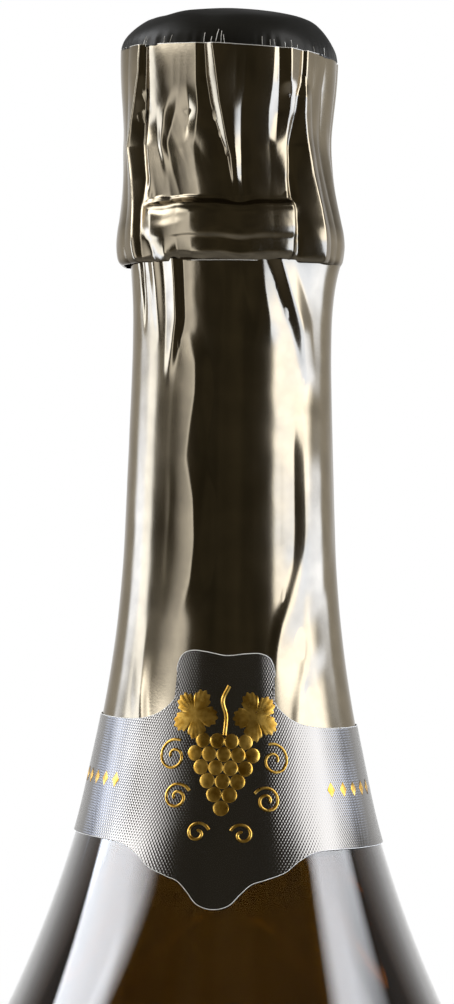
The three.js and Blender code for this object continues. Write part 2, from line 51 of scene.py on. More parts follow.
WELD = 1e-6
UP = np.array([0.0, 0.0, 1.0])
PATTERN_MAP = "pattern"
Pair = tuple[float, float]
Triple = tuple[float, float, float]
Outline = tuple[Pair, ...]
Stations = tuple[tuple[float, ...], ...]
Colour = Triple
Drape = Callable[[np.ndarray], np.ndarray]
Material = bpy.types.Material
Socket = bpy.types.NodeSocket
log = logging.getLogger("bottle")


class Body(Enum):
    """Bodies of the frame that a piece moves with."""

    BOTTLE = "bottle"
    CORK = "cork"
    CAGE = "wire_cage"
    FOIL = "foil_cap"


# Shapes as whole arrays


@dataclass
class Surface:
    """Faces of one or more closed bodies.

    Attributes:
        points: Vertices in millimetres, one row each.
        faces: Four vertex numbers per face.
        pattern: Two coordinates per vertex for a printed or embossed pattern, in millimetres.
        finishes: Number of the finish of each face.
    """

    points: np.ndarray
    faces: np.ndarray
    pattern: np.ndarray | None = None
    finishes: np.ndarray | None = None


def ease(value: np.ndarray, low: float, high: float) -> np.ndarray:
    """Returns 0 below low, 1 above high and a smooth cubic step between."""
    share = np.clip((value - low) / (high - low), 0, 1)
    return share * share * (3 - 2 * share)


def bell(value: np.ndarray, middle: float, width: float) -> np.ndarray:
    """Returns a smooth hump that is 1 at its middle and 1/e at one width from it."""
    return np.exp(-(((value - middle) / width) ** 2))


def triangle(phase: np.ndarray) -> np.ndarray:
    """Returns a wave of straight slopes between 0 and 1, with its crests at whole numbers."""
    return np.abs(2 * (phase - np.floor(phase)) - 1)


def unit(vectors: np.ndarray) -> np.ndarray:
    """Returns vectors of length 1."""
    return vectors / np.linalg.norm(vectors, axis=1, keepdims=True)


def circle(angle: np.ndarray) -> np.ndarray:
    """Returns points on a circle of radius 1, at angles in radians."""
    return np.stack([np.cos(angle), np.sin(angle)], axis=-1)


def polar(radius: np.ndarray, azimuth: np.ndarray, height: np.ndarray) -> np.ndarray:
    """Places points round the axis: x is the radius times the azimuth's sine, y minus its cosine.

    Args:
        radius: Distance from the axis.
        azimuth: Angle from the front in radians.
        height: Height over the standing ring.

    Returns:
        Points with x, y and z in the last axis.
    """
    radius, azimuth, height = np.broadcast_arrays(radius, azimuth, height)
    return np.stack([radius * np.sin(azimuth), -radius * np.cos(azimuth), height], axis=-1)


def arc(centre: Pair, radius: float, start: float, end: float, count: int) -> np.ndarray:
    """Returns points on an arc of a profile, with both ends, for angles in radians."""
    return np.array(centre) + radius * circle(np.linspace(start, end, count))


def spline(knots: Sequence[Sequence[float]], count: int) -> np.ndarray:
    """Draws a smooth curve through knots: at each knot it runs parallel to the line between its neighbours.

    Args:
        knots: Points that the curve goes through.
        count: Number of points of the curve, evenly spread over the spans.

    Returns:
        The curve's points.
    """
    points = np.asarray(knots, float)
    padded = np.vstack([2 * points[0] - points[1], points, 2 * points[-1] - points[-2]])
    position = np.linspace(0, len(points) - 1, count)
    span = np.minimum(position.astype(int), len(points) - 2)
    t = (position - span)[:, None]
    before, start, end, after = (padded[span + shift] for shift in range(4))
    bend = 2 * before - 5 * start + 4 * end - after
    twist = 3 * start - before - 3 * end + after
    return 0.5 * (2 * start + (end - before) * t + bend * t**2 + twist * t**3)


def rounded(corners: Sequence[Triple], count: int) -> np.ndarray:
    """Draws a line through corners and rounds each one with a parabola that starts and ends on its sides.

    Args:
        corners: Radius, height and length of side that the round takes, for each corner.
        count: Points on each round.

    Returns:
        Points of the line from the first corner to the last.
    """
    table = np.asarray(corners, float)
    point, cut = table[:, :2], table[1:-1, 2:]
    middle = point[1:-1]
    start = (middle + cut * unit(point[:-2] - middle))[:, None]
    end = (middle + cut * unit(point[2:] - middle))[:, None]
    t = np.linspace(0, 1, count)[None, :, None]
    rounds = (1 - t) ** 2 * start + 2 * t * (1 - t) * middle[:, None] + t**2 * end
    return np.vstack([point[:1], rounds.reshape(-1, 2), point[-1:]])


def between(stations: Stations, z: np.ndarray) -> list[np.ndarray]:
    """Draws straight lines between stations.

    Args:
        stations: Rows that start with a height, in any order.
        z: Heights.

    Returns:
        The other columns of the rows at these heights.
    """
    table = np.array(sorted(stations))
    return [np.interp(z, table[:, 0], column) for column in table.T[1:]]


def travelled(path: np.ndarray) -> np.ndarray:
    """Returns the length along a path up to each of its points."""
    return np.concatenate([[0], np.cumsum(np.linalg.norm(np.diff(path, axis=0), axis=1))])


def lifted(flat: np.ndarray, height: float) -> np.ndarray:
    """Adds a third coordinate, the same for all, to points of a plane."""
    return np.concatenate([flat, np.full((*flat.shape[:-1], 1), height)], axis=-1)


def grid_faces(rows: int, columns: int, wrap_rows: bool = False, wrap_columns: bool = False) -> np.ndarray:
    """Makes the quads of a grid whose points are stored row by row.

    Args:
        rows: Number of rows.
        columns: Points in each row.
        wrap_rows: True if the last row joins the first.
        wrap_columns: True if the last column joins the first.

    Returns:
        Four point numbers for each quad.
    """
    row = np.arange(rows if wrap_rows else rows - 1)[:, None]
    column = np.arange(columns if wrap_columns else columns - 1)[None, :]
    next_row, next_column = (row + 1) % rows, (column + 1) % columns
    corners = (
        row * columns + column,
        row * columns + next_column,
        next_row * columns + next_column,
        next_row * columns + column,
    )
    return np.stack(np.broadcast_arrays(*corners), axis=-1).reshape(-1, 4)


def lathe(profile: np.ndarray, columns: int) -> Surface:
    """Turns a profile about the axis, on which it starts and ends: its points go round in equal steps."""
    azimuth = np.linspace(-np.pi, np.pi, columns, endpoint=False)
    points = polar(profile[:, :1], azimuth[None, :], profile[:, 1:])
    return Surface(points.reshape(-1, 3), grid_faces(len(profile), columns, False, True))


def shell(outer: np.ndarray, inner: np.ndarray) -> Surface:
    """Closes a thin wall that goes round: up the outer grid's rows, then down the inner grid's rows."""
    rows = np.concatenate([outer, inner[::-1]])
    return Surface(rows.reshape(-1, 3), grid_faces(len(rows), rows.shape[1], True, True))


def slab(front: np.ndarray, back: np.ndarray, pattern: np.ndarray) -> Surface:
    """Closes a sheet: each row runs along the front and back along the rear, and quads cap the end rows.

    Args:
        front: Grid of points on the shown side.
        back: Grid of the same size behind it.
        pattern: Pattern coordinates of the grid.

    Returns:
        The closed sheet, with finish 1 on its cut edges.
    """
    rows, columns = front.shape[:2]
    loops = np.concatenate([front, back[:, ::-1]], axis=1)
    sides = grid_faces(rows, 2 * columns, wrap_columns=True)
    step = np.arange(columns - 1)
    cap = np.stack([step, step + 1, 2 * columns - 2 - step, 2 * columns - 1 - step], axis=-1)
    caps = np.concatenate([cap, cap + (rows - 1) * 2 * columns])
    column = np.arange(len(sides)) % (2 * columns)
    ends = (column == columns - 1) | (column == 2 * columns - 1)
    finishes = np.concatenate([ends.astype(np.int32), np.ones(len(caps), np.int32)])
    both = np.concatenate([pattern, pattern[:, ::-1]], axis=1)
    return Surface(loops.reshape(-1, 3), np.concatenate([sides, caps]), both.reshape(-1, 2), finishes)


def laid(drape: Drape, flat: np.ndarray, thickness: float) -> Surface:
    """Lays a flat grid on a body as a sheet that takes the grid as its pattern."""
    return slab(drape(lifted(flat, thickness)), drape(lifted(flat, 0.0)), flat)


def tube(path: np.ndarray, radius: float, up: np.ndarray, closed: bool = False, sides: int = 12) -> Surface:
    """Carries a circle along a path, in the plane of the two directions square to it.

    Args:
        path: Points of the wire's middle line.
        radius: Radius of the wire.
        up: A direction that the path never runs along.
        closed: True if the path joins its own start; otherwise both ends are capped.
        sides: Points on the circle.

    Returns:
        The closed wire.
    """
    ahead = np.roll(path, -1, 0) - np.roll(path, 1, 0) if closed else np.gradient(path, axis=0)
    side = unit(np.cross(np.broadcast_to(up, path.shape), ahead))
    other = unit(np.cross(ahead, side))
    angle = np.linspace(0, 2 * np.pi, sides, endpoint=False)[None, :, None]
    rings = path[:, None] + radius * (np.cos(angle) * side[:, None] + np.sin(angle) * other[:, None])
    if not closed:
        tips = np.broadcast_to(path[[0, -1]][:, None], (2, sides, 3))
        rings = np.concatenate([tips[:1], rings, tips[1:]])
    return Surface(rings.reshape(-1, 3), grid_faces(len(rings), sides, closed, True))


def gather(surfaces: Sequence[Surface]) -> Surface:
    """Puts several closed bodies into one surface, with their face numbers moved on."""
    counts = np.cumsum([0] + [len(surface.points) for surface in surfaces[:-1]])
    faces = [surface.faces + shift for surface, shift in zip(surfaces, counts)]
    return Surface(np.concatenate([surface.points for surface in surfaces]), np.concatenate(faces))


def stamped(drape: Drape, parts: Sequence[Surface], height: float) -> Surface:
    """Lays parts in label coordinates on a body, all lifted by a height."""
    both = gather(parts)
    both.points = drape(both.points + height * UP)
    return both


def blur(field: np.ndarray, rows: float, columns: float) -> np.ndarray:
    """Softens a grid that goes round by damping its fast waves, with the rows mirrored at both ends.

    Args:
        field: Values, one row for each height.
        rows: Width of the softening, in rows.
        columns: Width of the softening, in columns.

    Returns:
        The softened values.
    """
    mirrored = np.vstack([field, field[::-1]])
    down = np.fft.fftfreq(mirrored.shape[0])[:, None] * rows
    across = np.fft.rfftfreq(mirrored.shape[1])[None, :] * columns
    damping = np.exp(-2 * np.pi**2 * (down**2 + across**2))
    return np.fft.irfft2(np.fft.rfft2(mirrored) * damping, mirrored.shape)[: len(field)]


def plain_mesh(name: str, surface: Surface) -> bpy.types.Mesh:
    """Makes a mesh in metres from a surface."""
    mesh = bpy.data.meshes.new(name)
    mesh.from_pydata((surface.points * MM).tolist(), [], surface.faces.tolist())
    return mesh


def show(name: str, data: bpy.types.ID) -> bpy.types.Object:
    """Puts a new object with its data into the scene."""
    shown = bpy.data.objects.new(name, data)
    bpy.context.scene.collection.objects.link(shown)
    return shown


def make_piece(
    name: str,
    surface: Surface,
    finishes: Sequence[Material],
    body: Body,
    nodes: Sequence[str] = (),
    crisp: float = 50.0,
) -> None:
    """Makes a mesh object at the origin and ties it to the frame.

    Args:
        name: Name of the piece.
        surface: Its closed surface.
        finishes: Materials, in the order of the surface's finish numbers.
        body: Body of the frame that it moves with.
        nodes: CAD nodes that it stands for.
        crisp: Angle between faces, in degrees, from which an edge is shaded sharp.
    """
    mesh = plain_mesh(name, surface)
    if surface.pattern is not None:
        corners = np.empty(len(mesh.loops), np.int32)
        mesh.loops.foreach_get("vertex_index", corners)
        layer = mesh.uv_layers.new(name=PATTERN_MAP)
        layer.data.foreach_set("uv", surface.pattern[corners].astype(np.float32).ravel())
    if surface.finishes is not None:
        mesh.polygons.foreach_set("material_index", surface.finishes.astype(np.int32))
    welded = bmesh.new()
    welded.from_mesh(mesh)
    bmesh.ops.remove_doubles(welded, verts=welded.verts, dist=WELD)
    bmesh.ops.recalc_face_normals(welded, faces=welded.faces)
    welded.to_mesh(mesh)
    welded.free()
    mesh.shade_smooth()
    mesh.set_sharp_from_angle(angle=math.radians(crisp))
    for finish in finishes:
        mesh.materials.append(finish)
    piece = show(name, mesh)
    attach(piece, body.value)
    if nodes:
        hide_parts(*nodes)
    log.info("%s: %d faces", name, len(mesh.polygons))


# Finishes


def find_node(tree: bpy.types.NodeTree, kind: str) -> bpy.types.Node:
    """Returns the first node of a type in a tree."""
    return next(node for node in tree.nodes if node.type == kind)


def dimmed(colour: Colour, share: float) -> Colour:
    """Returns a colour with all its parts times a share."""
    return tuple(share * part for part in colour)


class NodePen:
    """Writes nodes into one node tree."""

    def __init__(self, tree: bpy.types.NodeTree) -> None:
        """Takes the tree to write into."""
        self.tree = tree

    def node(self, kind: str, **settings: object) -> bpy.types.Node:
        """Adds a node of a kind and sets its named settings."""
        made = self.tree.nodes.new(kind)
        for name, value in settings.items():
            setattr(made, name, value)
        return made

    def feed(self, socket: Socket, value: object) -> None:
        """Links a socket to an input, or sets the input to a plain value."""
        if isinstance(value, Socket):
            self.tree.links.new(value, socket)
        else:
            socket.default_value = value

    def plug(self, node: bpy.types.Node, **values: object) -> None:
        """Feeds inputs of a node, whose names are given with _ for each space."""
        for name, value in values.items():
            self.feed(node.inputs[name.replace("_", " ")], value)

    def place(self) -> Socket:
        """Returns the place on the object in metres."""
        return self.node("ShaderNodeTexCoord").outputs["Object"]

    def split(self, vector: Socket) -> Sequence[Socket]:
        """Returns the three parts of a vector."""
        made = self.node("ShaderNodeSeparateXYZ")
        self.feed(made.inputs[0], vector)
        return made.outputs

    def math(self, operation: str, *values: object) -> Socket:
        """Returns the result of one sum on links or plain numbers."""
        made = self.node("ShaderNodeMath", operation=operation)
        for socket, value in zip(made.inputs, values):
            self.feed(socket, value)
        return made.outputs[0]

    def noise(self, place: Socket, scale: object, detail: float = 2.0) -> Socket:
        """Returns smooth noise at a place, at a scale in waves per metre."""
        made = self.node("ShaderNodeTexNoise")
        self.plug(made, Vector=place, Scale=scale, Detail=detail)
        return made.outputs["Fac"]

    def remap(self, value: object, source: Pair, target: tuple[object, object]) -> Socket:
        """Returns a value moved from one range to another and held inside it."""
        made = self.node("ShaderNodeMapRange", clamp=True)
        for socket, item in zip(made.inputs, (value, *source, *target)):
            self.feed(socket, item)
        return made.outputs["Result"]

    def tone(self, place: Socket, scale: float, detail: float = 2.0, spread: float = 0.15) -> Socket:
        """Returns noise that runs from 0 to 1, where plain noise is within a spread of its mean."""
        return self.remap(self.noise(place, scale, detail), (0.5 - spread, 0.5 + spread), (0.0, 1.0))

    def smudges(self, group: bpy.types.NodeTree, roughness: Pair, scale: float = 60.0) -> Socket:
        """Returns a roughness that varies between two values over handling marks."""
        marks = self.node("ShaderNodeGroup", node_tree=group)
        self.plug(marks, Scale=scale, Low=roughness[0], High=roughness[1])
        return marks.outputs["Roughness"]

    def mix(self, share: object, first: Colour, second: Colour) -> Socket:
        """Returns a mix of two colours."""
        made = self.node("ShaderNodeMix", data_type="RGBA")
        for number, value in ((0, share), (6, (*first, 1)), (7, (*second, 1))):
            self.feed(made.inputs[number], value)
        return made.outputs[2]

    def bump(self, height: Socket, depth: float) -> Socket:
        """Returns a normal bent by a height, with its depth in millimetres."""
        made = self.node("ShaderNodeBump")
        self.plug(made, Strength=1.0, Distance=depth * MM, Height=height)
        return made.outputs["Normal"]


class NumberGroup:
    """Node group with plain number sockets, while it is written.

    Attributes:
        tree: The group.
        pen: Pen that writes into it.
        given: Its inputs, seen from inside.
    """

    def __init__(self, name: str, inputs: dict[str, float], output: str) -> None:
        """Makes the group with its inputs' starting values and one output."""
        self.tree = bpy.data.node_groups.new(name, "ShaderNodeTree")
        for socket, value in inputs.items():
            made = self.tree.interface.new_socket(socket, in_out="INPUT", socket_type="NodeSocketFloat")
            made.default_value = value
        self.tree.interface.new_socket(output, in_out="OUTPUT", socket_type="NodeSocketFloat")
        self.pen = NodePen(self.tree)
        self.given = self.pen.node("NodeGroupInput").outputs

    def close(self, result: Socket) -> bpy.types.NodeTree:
        """Links the result to the output and returns the group."""
        self.pen.feed(self.pen.node("NodeGroupOutput").inputs[0], result)
        return self.tree


def smudge_group() -> bpy.types.NodeTree:
    """Makes the group of handling marks: broad soft smudges in the gloss."""
    group = NumberGroup("handling_marks", {"Scale": 60.0, "Low": 0.2, "High": 0.3}, "Roughness")
    pen, given = group.pen, group.given
    cloud = pen.noise(pen.place(), given["Scale"], 3.0)
    return group.close(pen.remap(cloud, (0.35, 0.65), (given["Low"], given["High"])))


def lattice_group() -> bpy.types.NodeTree:
    """Makes the group of an embossed lattice: two diagonal waves whose product leaves small pads."""
    group = NumberGroup("embossed_lattice", {"Across": 0.48, "Up": 0.78}, "Height")
    pen = group.pen
    parts = pen.split(pen.node("ShaderNodeUVMap", uv_map=PATTERN_MAP).outputs["UV"])
    along, upward = (
        pen.math("DIVIDE", pen.math("MULTIPLY", part, math.pi), group.given[pitch])
        for part, pitch in zip(parts, ("Across", "Up"))
    )
    rising = pen.math("SINE", pen.math("ADD", along, upward))
    falling = pen.math("SINE", pen.math("SUBTRACT", along, upward))
    return group.close(pen.math("ABSOLUTE", pen.math("MULTIPLY", rising, falling)))


@dataclass(frozen=True)
class Groups:
    """Node groups that several finishes share."""

    smudge: bpy.types.NodeTree
    lattice: bpy.types.NodeTree


def new_material(name: str) -> tuple[Material, NodePen, bpy.types.Node]:
    """Returns a new material, its pen and its Principled shader."""
    material = bpy.data.materials.new(name)
    material.use_nodes = True
    tree = material.node_tree
    return material, NodePen(tree), find_node(tree, "BSDF_PRINCIPLED")


@dataclass(frozen=True)
class FoilFinish:
    """Satin metal foil under a thin clear lacquer.

    Attributes:
        name: Name of the material.
        colour: Colour of the metal.
        metallic: 1 for bare foil, less for a painted one.
        roughness: Lowest and highest roughness over the smudges.
        coat: Weight of the lacquer.
        grain: Depth of the fine grain in millimetres.
        gloss: Strength of the paint's own reflection.
        coat_index: Refractive index of the lacquer.
        coat_roughness: Roughness of the lacquer.
        grazing: Colour that the metal takes towards its outline.
        tones: Darkest and lightest share of the colour.
        tone_scale: Waves of the tone per metre.
        grain_scale: Waves of the grain per metre.
    """

    name: str
    colour: Colour
    metallic: float
    roughness: Pair
    coat: float
    grain: float
    gloss: float = 0.5
    coat_index: float = 1.5
    coat_roughness: float = 0.12
    grazing: Colour = (0.5, 0.46, 0.4)
    tones: Pair = (0.9, 1.1)
    tone_scale: float = 220.0
    grain_scale: float = 2600.0

    def material(self, groups: Groups) -> Material:
        """Builds the material with smudges in its roughness and a fine grain."""
        material, pen, shader = new_material(self.name)
        place = pen.place()
        darker, lighter = (dimmed(self.colour, share) for share in self.tones)
        pen.plug(
            shader,
            Base_Color=pen.mix(pen.tone(place, self.tone_scale), darker, lighter),
            Roughness=pen.smudges(groups.smudge, self.roughness),
            Metallic=self.metallic,
            Specular_Tint=(*self.grazing, 1),
            Specular_IOR_Level=self.gloss,
            Coat_Weight=self.coat,
            Coat_IOR=self.coat_index,
            Coat_Roughness=self.coat_roughness,
            Normal=pen.bump(pen.noise(place, self.grain_scale, 1.0), self.grain),
        )
        return material


@dataclass(frozen=True)
class PaperFinish:
    """Coated dark paper with an embossed lattice.

    Attributes:
        name: Name of the material.
        colour: Colour of the ink in the valleys of the lattice.
        pad_colour: Colour of the ink on its pads.
        across: Pitch of the lattice along the label in millimetres.
        up: Pitch of the lattice up the label.
        depth: Depth of the lattice in millimetres.
        roughness: Roughness in the valleys and on the pads.
        index: Refractive index of the varnish.
        sheen: Colour of its reflections.
    """

    name: str = "label_lattice"
    colour: Colour = (0.003, 0.003, 0.003)
    pad_colour: Colour = (0.006, 0.006, 0.006)
    across: float = 0.48
    up: float = 0.78
    depth: float = 0.017
    roughness: Pair = (0.14, 0.08)
    index: float = 1.72
    sheen: Colour = (1.0, 0.94, 0.865)

    def material(self, groups: Groups) -> Material:
        """Builds the material; the pads of the lattice are paler and smoother than its valleys."""
        material, pen, shader = new_material(self.name)
        lattice = pen.node("ShaderNodeGroup", node_tree=groups.lattice)
        pen.plug(lattice, Across=self.across, Up=self.up)
        height = lattice.outputs["Height"]
        pen.plug(
            shader,
            Base_Color=pen.mix(height, self.colour, self.pad_colour),
            Roughness=pen.remap(height, (0.0, 1.0), self.roughness),
            IOR=self.index,
            Specular_IOR_Level=1.0,
            Specular_Tint=(*self.sheen, 1),
            Normal=pen.bump(height, self.depth),
        )
        return material


@dataclass(frozen=True)
class PaperEdgeFinish:
    """Cut edge of white paper."""

    name: str = "paper_edge"
    colour: Colour = (0.62, 0.61, 0.58)
    fibre_share: float = 0.75
    fibre_scale: float = 1500.0
    roughness: float = 0.7

    def material(self) -> Material:
        """Builds the material with a faint fibre in its colour."""
        material, pen, shader = new_material(self.name)
        fibre = pen.tone(pen.place(), self.fibre_scale, spread=0.2)
        base = pen.mix(fibre, dimmed(self.colour, self.fibre_share), self.colour)
        pen.plug(shader, Base_Color=base, Roughness=self.roughness)
        return material


@dataclass(frozen=True)
class MetalFinish:
    """Metal of uneven colour and gloss, as stamped gold or dull wire.

    Attributes:
        name: Name of the material.
        deep: Its darker colour.
        bright: Its lighter colour.
        tone_scale: Waves of the tone per metre.
        detail: Detail of the tone.
        spread: Spread of noise that the tone takes in.
        smudge_scale: Waves of the smudges per metre.
        roughness: Lowest and highest roughness over the smudges.
    """

    name: str
    deep: Colour
    bright: Colour
    tone_scale: float
    detail: float
    spread: float
    smudge_scale: float
    roughness: Pair = (0.25, 0.45)

    def material(self, groups: Groups) -> Material:
        """Builds the material."""
        material, pen, shader = new_material(self.name)
        tone = pen.tone(pen.place(), self.tone_scale, self.detail, self.spread)
        pen.plug(
            shader,
            Base_Color=pen.mix(tone, self.deep, self.bright),
            Roughness=pen.smudges(groups.smudge, self.roughness, self.smudge_scale),
            Metallic=1.0,
        )
        return material


@dataclass(frozen=True)
class ClearFinish:
    """Clear body that colours the light that passes through it.

    Attributes:
        name: Name of the material.
        index: Refractive index.
        colour: Colour that the light keeps.
        density: How fast the light loses the rest, per metre.
        coat: Weight of an added gloss.
        roughness: Lowest and highest roughness over the smudges.
        coat_roughness: Roughness of the added gloss.
    """

    name: str
    index: float
    colour: Colour
    density: float
    coat: float
    roughness: Pair
    coat_roughness: float = 0.03

    def material(self, groups: Groups) -> Material:
        """Builds the material with an absorbing volume and faint smudges on its skin."""
        material, pen, shader = new_material(self.name)
        pen.plug(
            shader,
            Base_Color=(1, 1, 1, 1),
            IOR=self.index,
            Transmission_Weight=1.0,
            Coat_Weight=self.coat,
            Coat_Roughness=self.coat_roughness,
            Roughness=pen.smudges(groups.smudge, self.roughness),
        )
        inside = pen.node("ShaderNodeVolumeAbsorption")
        pen.plug(inside, Color=(*self.colour, 1), Density=self.density)
        pen.plug(find_node(material.node_tree, "OUTPUT_MATERIAL"), Volume=inside.outputs["Volume"])
        return material


class CorkKind(Enum):
    """How a cork piece is made up."""

    GRANULES = "granules"
    NATURAL = "natural"


@dataclass(frozen=True)
class CorkFinish:
    """Cork, pressed from granules or cut in one disc.

    Attributes:
        name: Name of the material.
        kind: How the piece is made up.
        light: Its lighter colour.
        dark: Its darker colour.
        roughness: Its roughness.
        depth: Depth of its pores in millimetres.
        cell_scale: Granules per metre.
        cell_edge: Distances over which a granule falls.
        growth: Stretch of the growth lines along the three axes.
        growth_scale: Growth lines per metre.
        pore_scale: Pores per metre.
        pore_edge: Values of noise between which a pore opens.
    """

    name: str
    kind: CorkKind
    light: Colour
    dark: Colour
    roughness: float = 0.85
    depth: float = 0.12
    cell_scale: float = 420.0
    cell_edge: Pair = (0.0, 0.7)
    growth: Triple = (1.0, 4.0, 1.0)
    growth_scale: float = 260.0
    pore_scale: float = 700.0
    pore_edge: Pair = (0.3, 0.45)

    def granules(self, pen: NodePen, place: Socket) -> tuple[Socket, Socket]:
        """Returns tone and height of cells that each have one tone."""
        cells = pen.node("ShaderNodeTexVoronoi")
        pen.plug(cells, Vector=place, Scale=self.cell_scale)
        tone = pen.node("ShaderNodeSeparateColor")
        pen.feed(tone.inputs[0], cells.outputs["Color"])
        return tone.outputs[0], pen.remap(cells.outputs["Distance"], self.cell_edge, (1.0, 0.0))

    def growth_lines(self, pen: NodePen, place: Socket) -> tuple[Socket, Socket]:
        """Returns tone and height of stretched growth lines with pores."""
        stretched = pen.node("ShaderNodeMapping")
        pen.plug(stretched, Vector=place, Scale=self.growth)
        tone = pen.tone(stretched.outputs["Vector"], self.growth_scale, 4.0)
        return tone, pen.remap(pen.noise(place, self.pore_scale, 3.0), self.pore_edge, (0.0, 1.0))

    def material(self) -> Material:
        """Builds the material for the cork's kind."""
        material, pen, shader = new_material(self.name)
        draw = self.granules if self.kind is CorkKind.GRANULES else self.growth_lines
        tone, height = draw(pen, pen.place())
        pen.plug(
            shader,
            Base_Color=pen.mix(tone, self.dark, self.light),
            Roughness=self.roughness,
            Normal=pen.bump(height, self.depth),
        )
        return material


# Glass and wine


@dataclass(frozen=True)
class GlassShape:
    """Outline of the glass, which foil and labels follow."""

    height: float = 300.0
    body_radius: float = 44.2
    wall: float = 4.0
    heel_radius: float = 8.0
    standing_ring: float = 5.0
    punt_depth: float = 27.0
    base: float = 6.0
    shoulder_radius: float = 60.0
    flare_radius: float = 190.0
    flare_top: float = 239.3
    neck_radius: float = 14.35
    neck_taper: float = math.radians(2.15)
    ring_bottom: float = 284.7
    ring_top: float = 290.9
    ring_radius: float = 15.4
    recess_radius: float = 12.9
    lip_bottom: float = 293.0
    lip_radius: float = 14.2
    bore_radius: float = 8.9
    bore_end: float = 270.0

    @property
    def punt_radius(self) -> float:
        """Radius of the punt at the standing ring."""
        return self.body_radius - self.heel_radius - self.standing_ring

    @property
    def flare_centre(self) -> Pair:
        """Centre of the arc between neck and shoulder."""
        start = self.neck_radius + (self.ring_bottom - self.flare_top) * math.tan(self.neck_taper)
        across = start + self.flare_radius * math.cos(self.neck_taper)
        return across, self.flare_top + self.flare_radius * math.sin(self.neck_taper)

    @property
    def join_angle(self) -> float:
        """Angle at which the arcs of flare and shoulder meet."""
        across = self.flare_centre[0] - (self.body_radius - self.shoulder_radius)
        return math.acos(across / (self.flare_radius + self.shoulder_radius))

    @property
    def shoulder_centre(self) -> Pair:
        """Centre of the shoulder's arc."""
        drop = (self.flare_radius + self.shoulder_radius) * math.sin(self.join_angle)
        return self.body_radius - self.shoulder_radius, self.flare_centre[1] - drop

    def outer(self, z: np.ndarray) -> np.ndarray:
        """Returns the outer radius between heel and ring, at heights."""
        flare_x, flare_z = self.flare_centre
        shoulder_x, shoulder_z = self.shoulder_centre
        join = flare_z - self.flare_radius * math.sin(self.join_angle)
        neck = self.neck_radius + (self.ring_bottom - z) * math.tan(self.neck_taper)
        flare = flare_x - np.sqrt(np.maximum(self.flare_radius**2 - (flare_z - z) ** 2, 0))
        shoulder = shoulder_x + np.sqrt(np.maximum(self.shoulder_radius**2 - (z - shoulder_z) ** 2, 0))
        levels = [z >= self.flare_top, z >= join, z >= shoulder_z]
        return np.select(levels, [neck, flare, shoulder], self.body_radius)

    def punt(self, raised: float) -> np.ndarray:
        """Returns the bell of the punt, from the axis to its rim, as a squared cosine."""
        share = np.linspace(0, 1, 40)
        height = raised + self.punt_depth * np.cos(np.pi / 2 * share) ** 2
        return np.stack([share * self.punt_radius, height], axis=-1)

    def inside(self, gap: float, top: float) -> np.ndarray:
        """Returns the profile of the room inside, from the axis up to a height in the flare.

        Args:
            gap: Clearance from the glass.
            top: Height at which the profile ends.

        Returns:
            Radius and height of each point.
        """
        wall, floor = self.wall + gap, self.base + gap
        heel = (self.body_radius - wall - self.heel_radius, floor + self.heel_radius)
        end = math.asin((self.flare_centre[1] - top) / (self.flare_radius + wall))
        flare = arc(self.flare_centre, self.flare_radius + wall, np.pi + self.join_angle, np.pi + end, 70)
        return np.vstack(
            [
                self.punt(floor),
                arc(heel, self.heel_radius, -np.pi / 2, 0, 14)[1:],
                arc(self.shoulder_centre, self.shoulder_radius - wall, 0, self.join_angle, 24),
                flare[1:],
            ]
        )

    def finish(self) -> np.ndarray:
        """Returns the profile of ring, recess, lip and bore; the third number rounds each corner."""
        corners = [
            (self.neck_radius, self.ring_bottom - 3.0, 0.0),
            (self.neck_radius, self.ring_bottom, 0.4),
            (self.ring_radius, self.ring_bottom, 0.6),
            (self.ring_radius, self.ring_top, 1.9),
            (self.recess_radius, self.ring_top, 0.5),
            (self.recess_radius, self.lip_bottom, 0.5),
            (self.lip_radius, self.lip_bottom, 0.7),
            (self.lip_radius, self.height, 2.4),
            (self.bore_radius, self.height, 1.0),
            (self.bore_radius, self.bore_end, 0.0),
        ]
        return rounded(corners, 7)

    def profile(self) -> np.ndarray:
        """Returns the whole profile: punt, outside, finish, bore and inside, from axis to axis."""
        heel = (self.body_radius - self.heel_radius, self.heel_radius)
        flare_turn = (np.pi + self.join_angle, np.pi + self.neck_taper)
        return np.vstack(
            [
                self.punt(0.0),
                arc(heel, self.heel_radius, -np.pi / 2, 0, 18),
                arc(self.shoulder_centre, self.shoulder_radius, 0, self.join_angle, 30),
                arc(self.flare_centre, self.flare_radius, *flare_turn, 80)[1:],
                self.finish(),
                self.inside(0.0, self.flare_top)[::-1],
            ]
        )


@dataclass(frozen=True)
class Vessel:
    """Glass bottle with its wine."""

    shape: GlassShape
    columns: int = 192
    wine_gap: float = 0.3
    wine_level: float = 225.0
    level_rows: int = 30
    level_crowding: float = 1.5
    meniscus_rise: float = 1.2
    meniscus_width: float = 1.4

    def wine_profile(self) -> np.ndarray:
        """Returns the wine's profile; its surface climbs the glass, less and less towards the middle."""
        wall = self.shape.inside(self.wine_gap, self.wine_level + self.meniscus_rise)
        radius = wall[-1, 0] * np.linspace(1, 0, self.level_rows)[1:] ** self.level_crowding
        climb = self.meniscus_rise * np.exp(-(wall[-1, 0] - radius) / self.meniscus_width)
        return np.vstack([wall, np.stack([radius, self.wine_level + climb], axis=-1)])

    def build(self, glass: Material, wine: Material) -> None:
        """Makes the glass and the wine as bodies turned about the axis."""
        bottle = lathe(self.shape.profile(), self.columns)
        make_piece("bottle_glass", bottle, [glass], Body.BOTTLE, ["glass_bottle"])
        filling = lathe(self.wine_profile(), self.columns)
        make_piece("bottle_wine", filling, [wine], Body.BOTTLE, ["wine"])


# Cork and cage


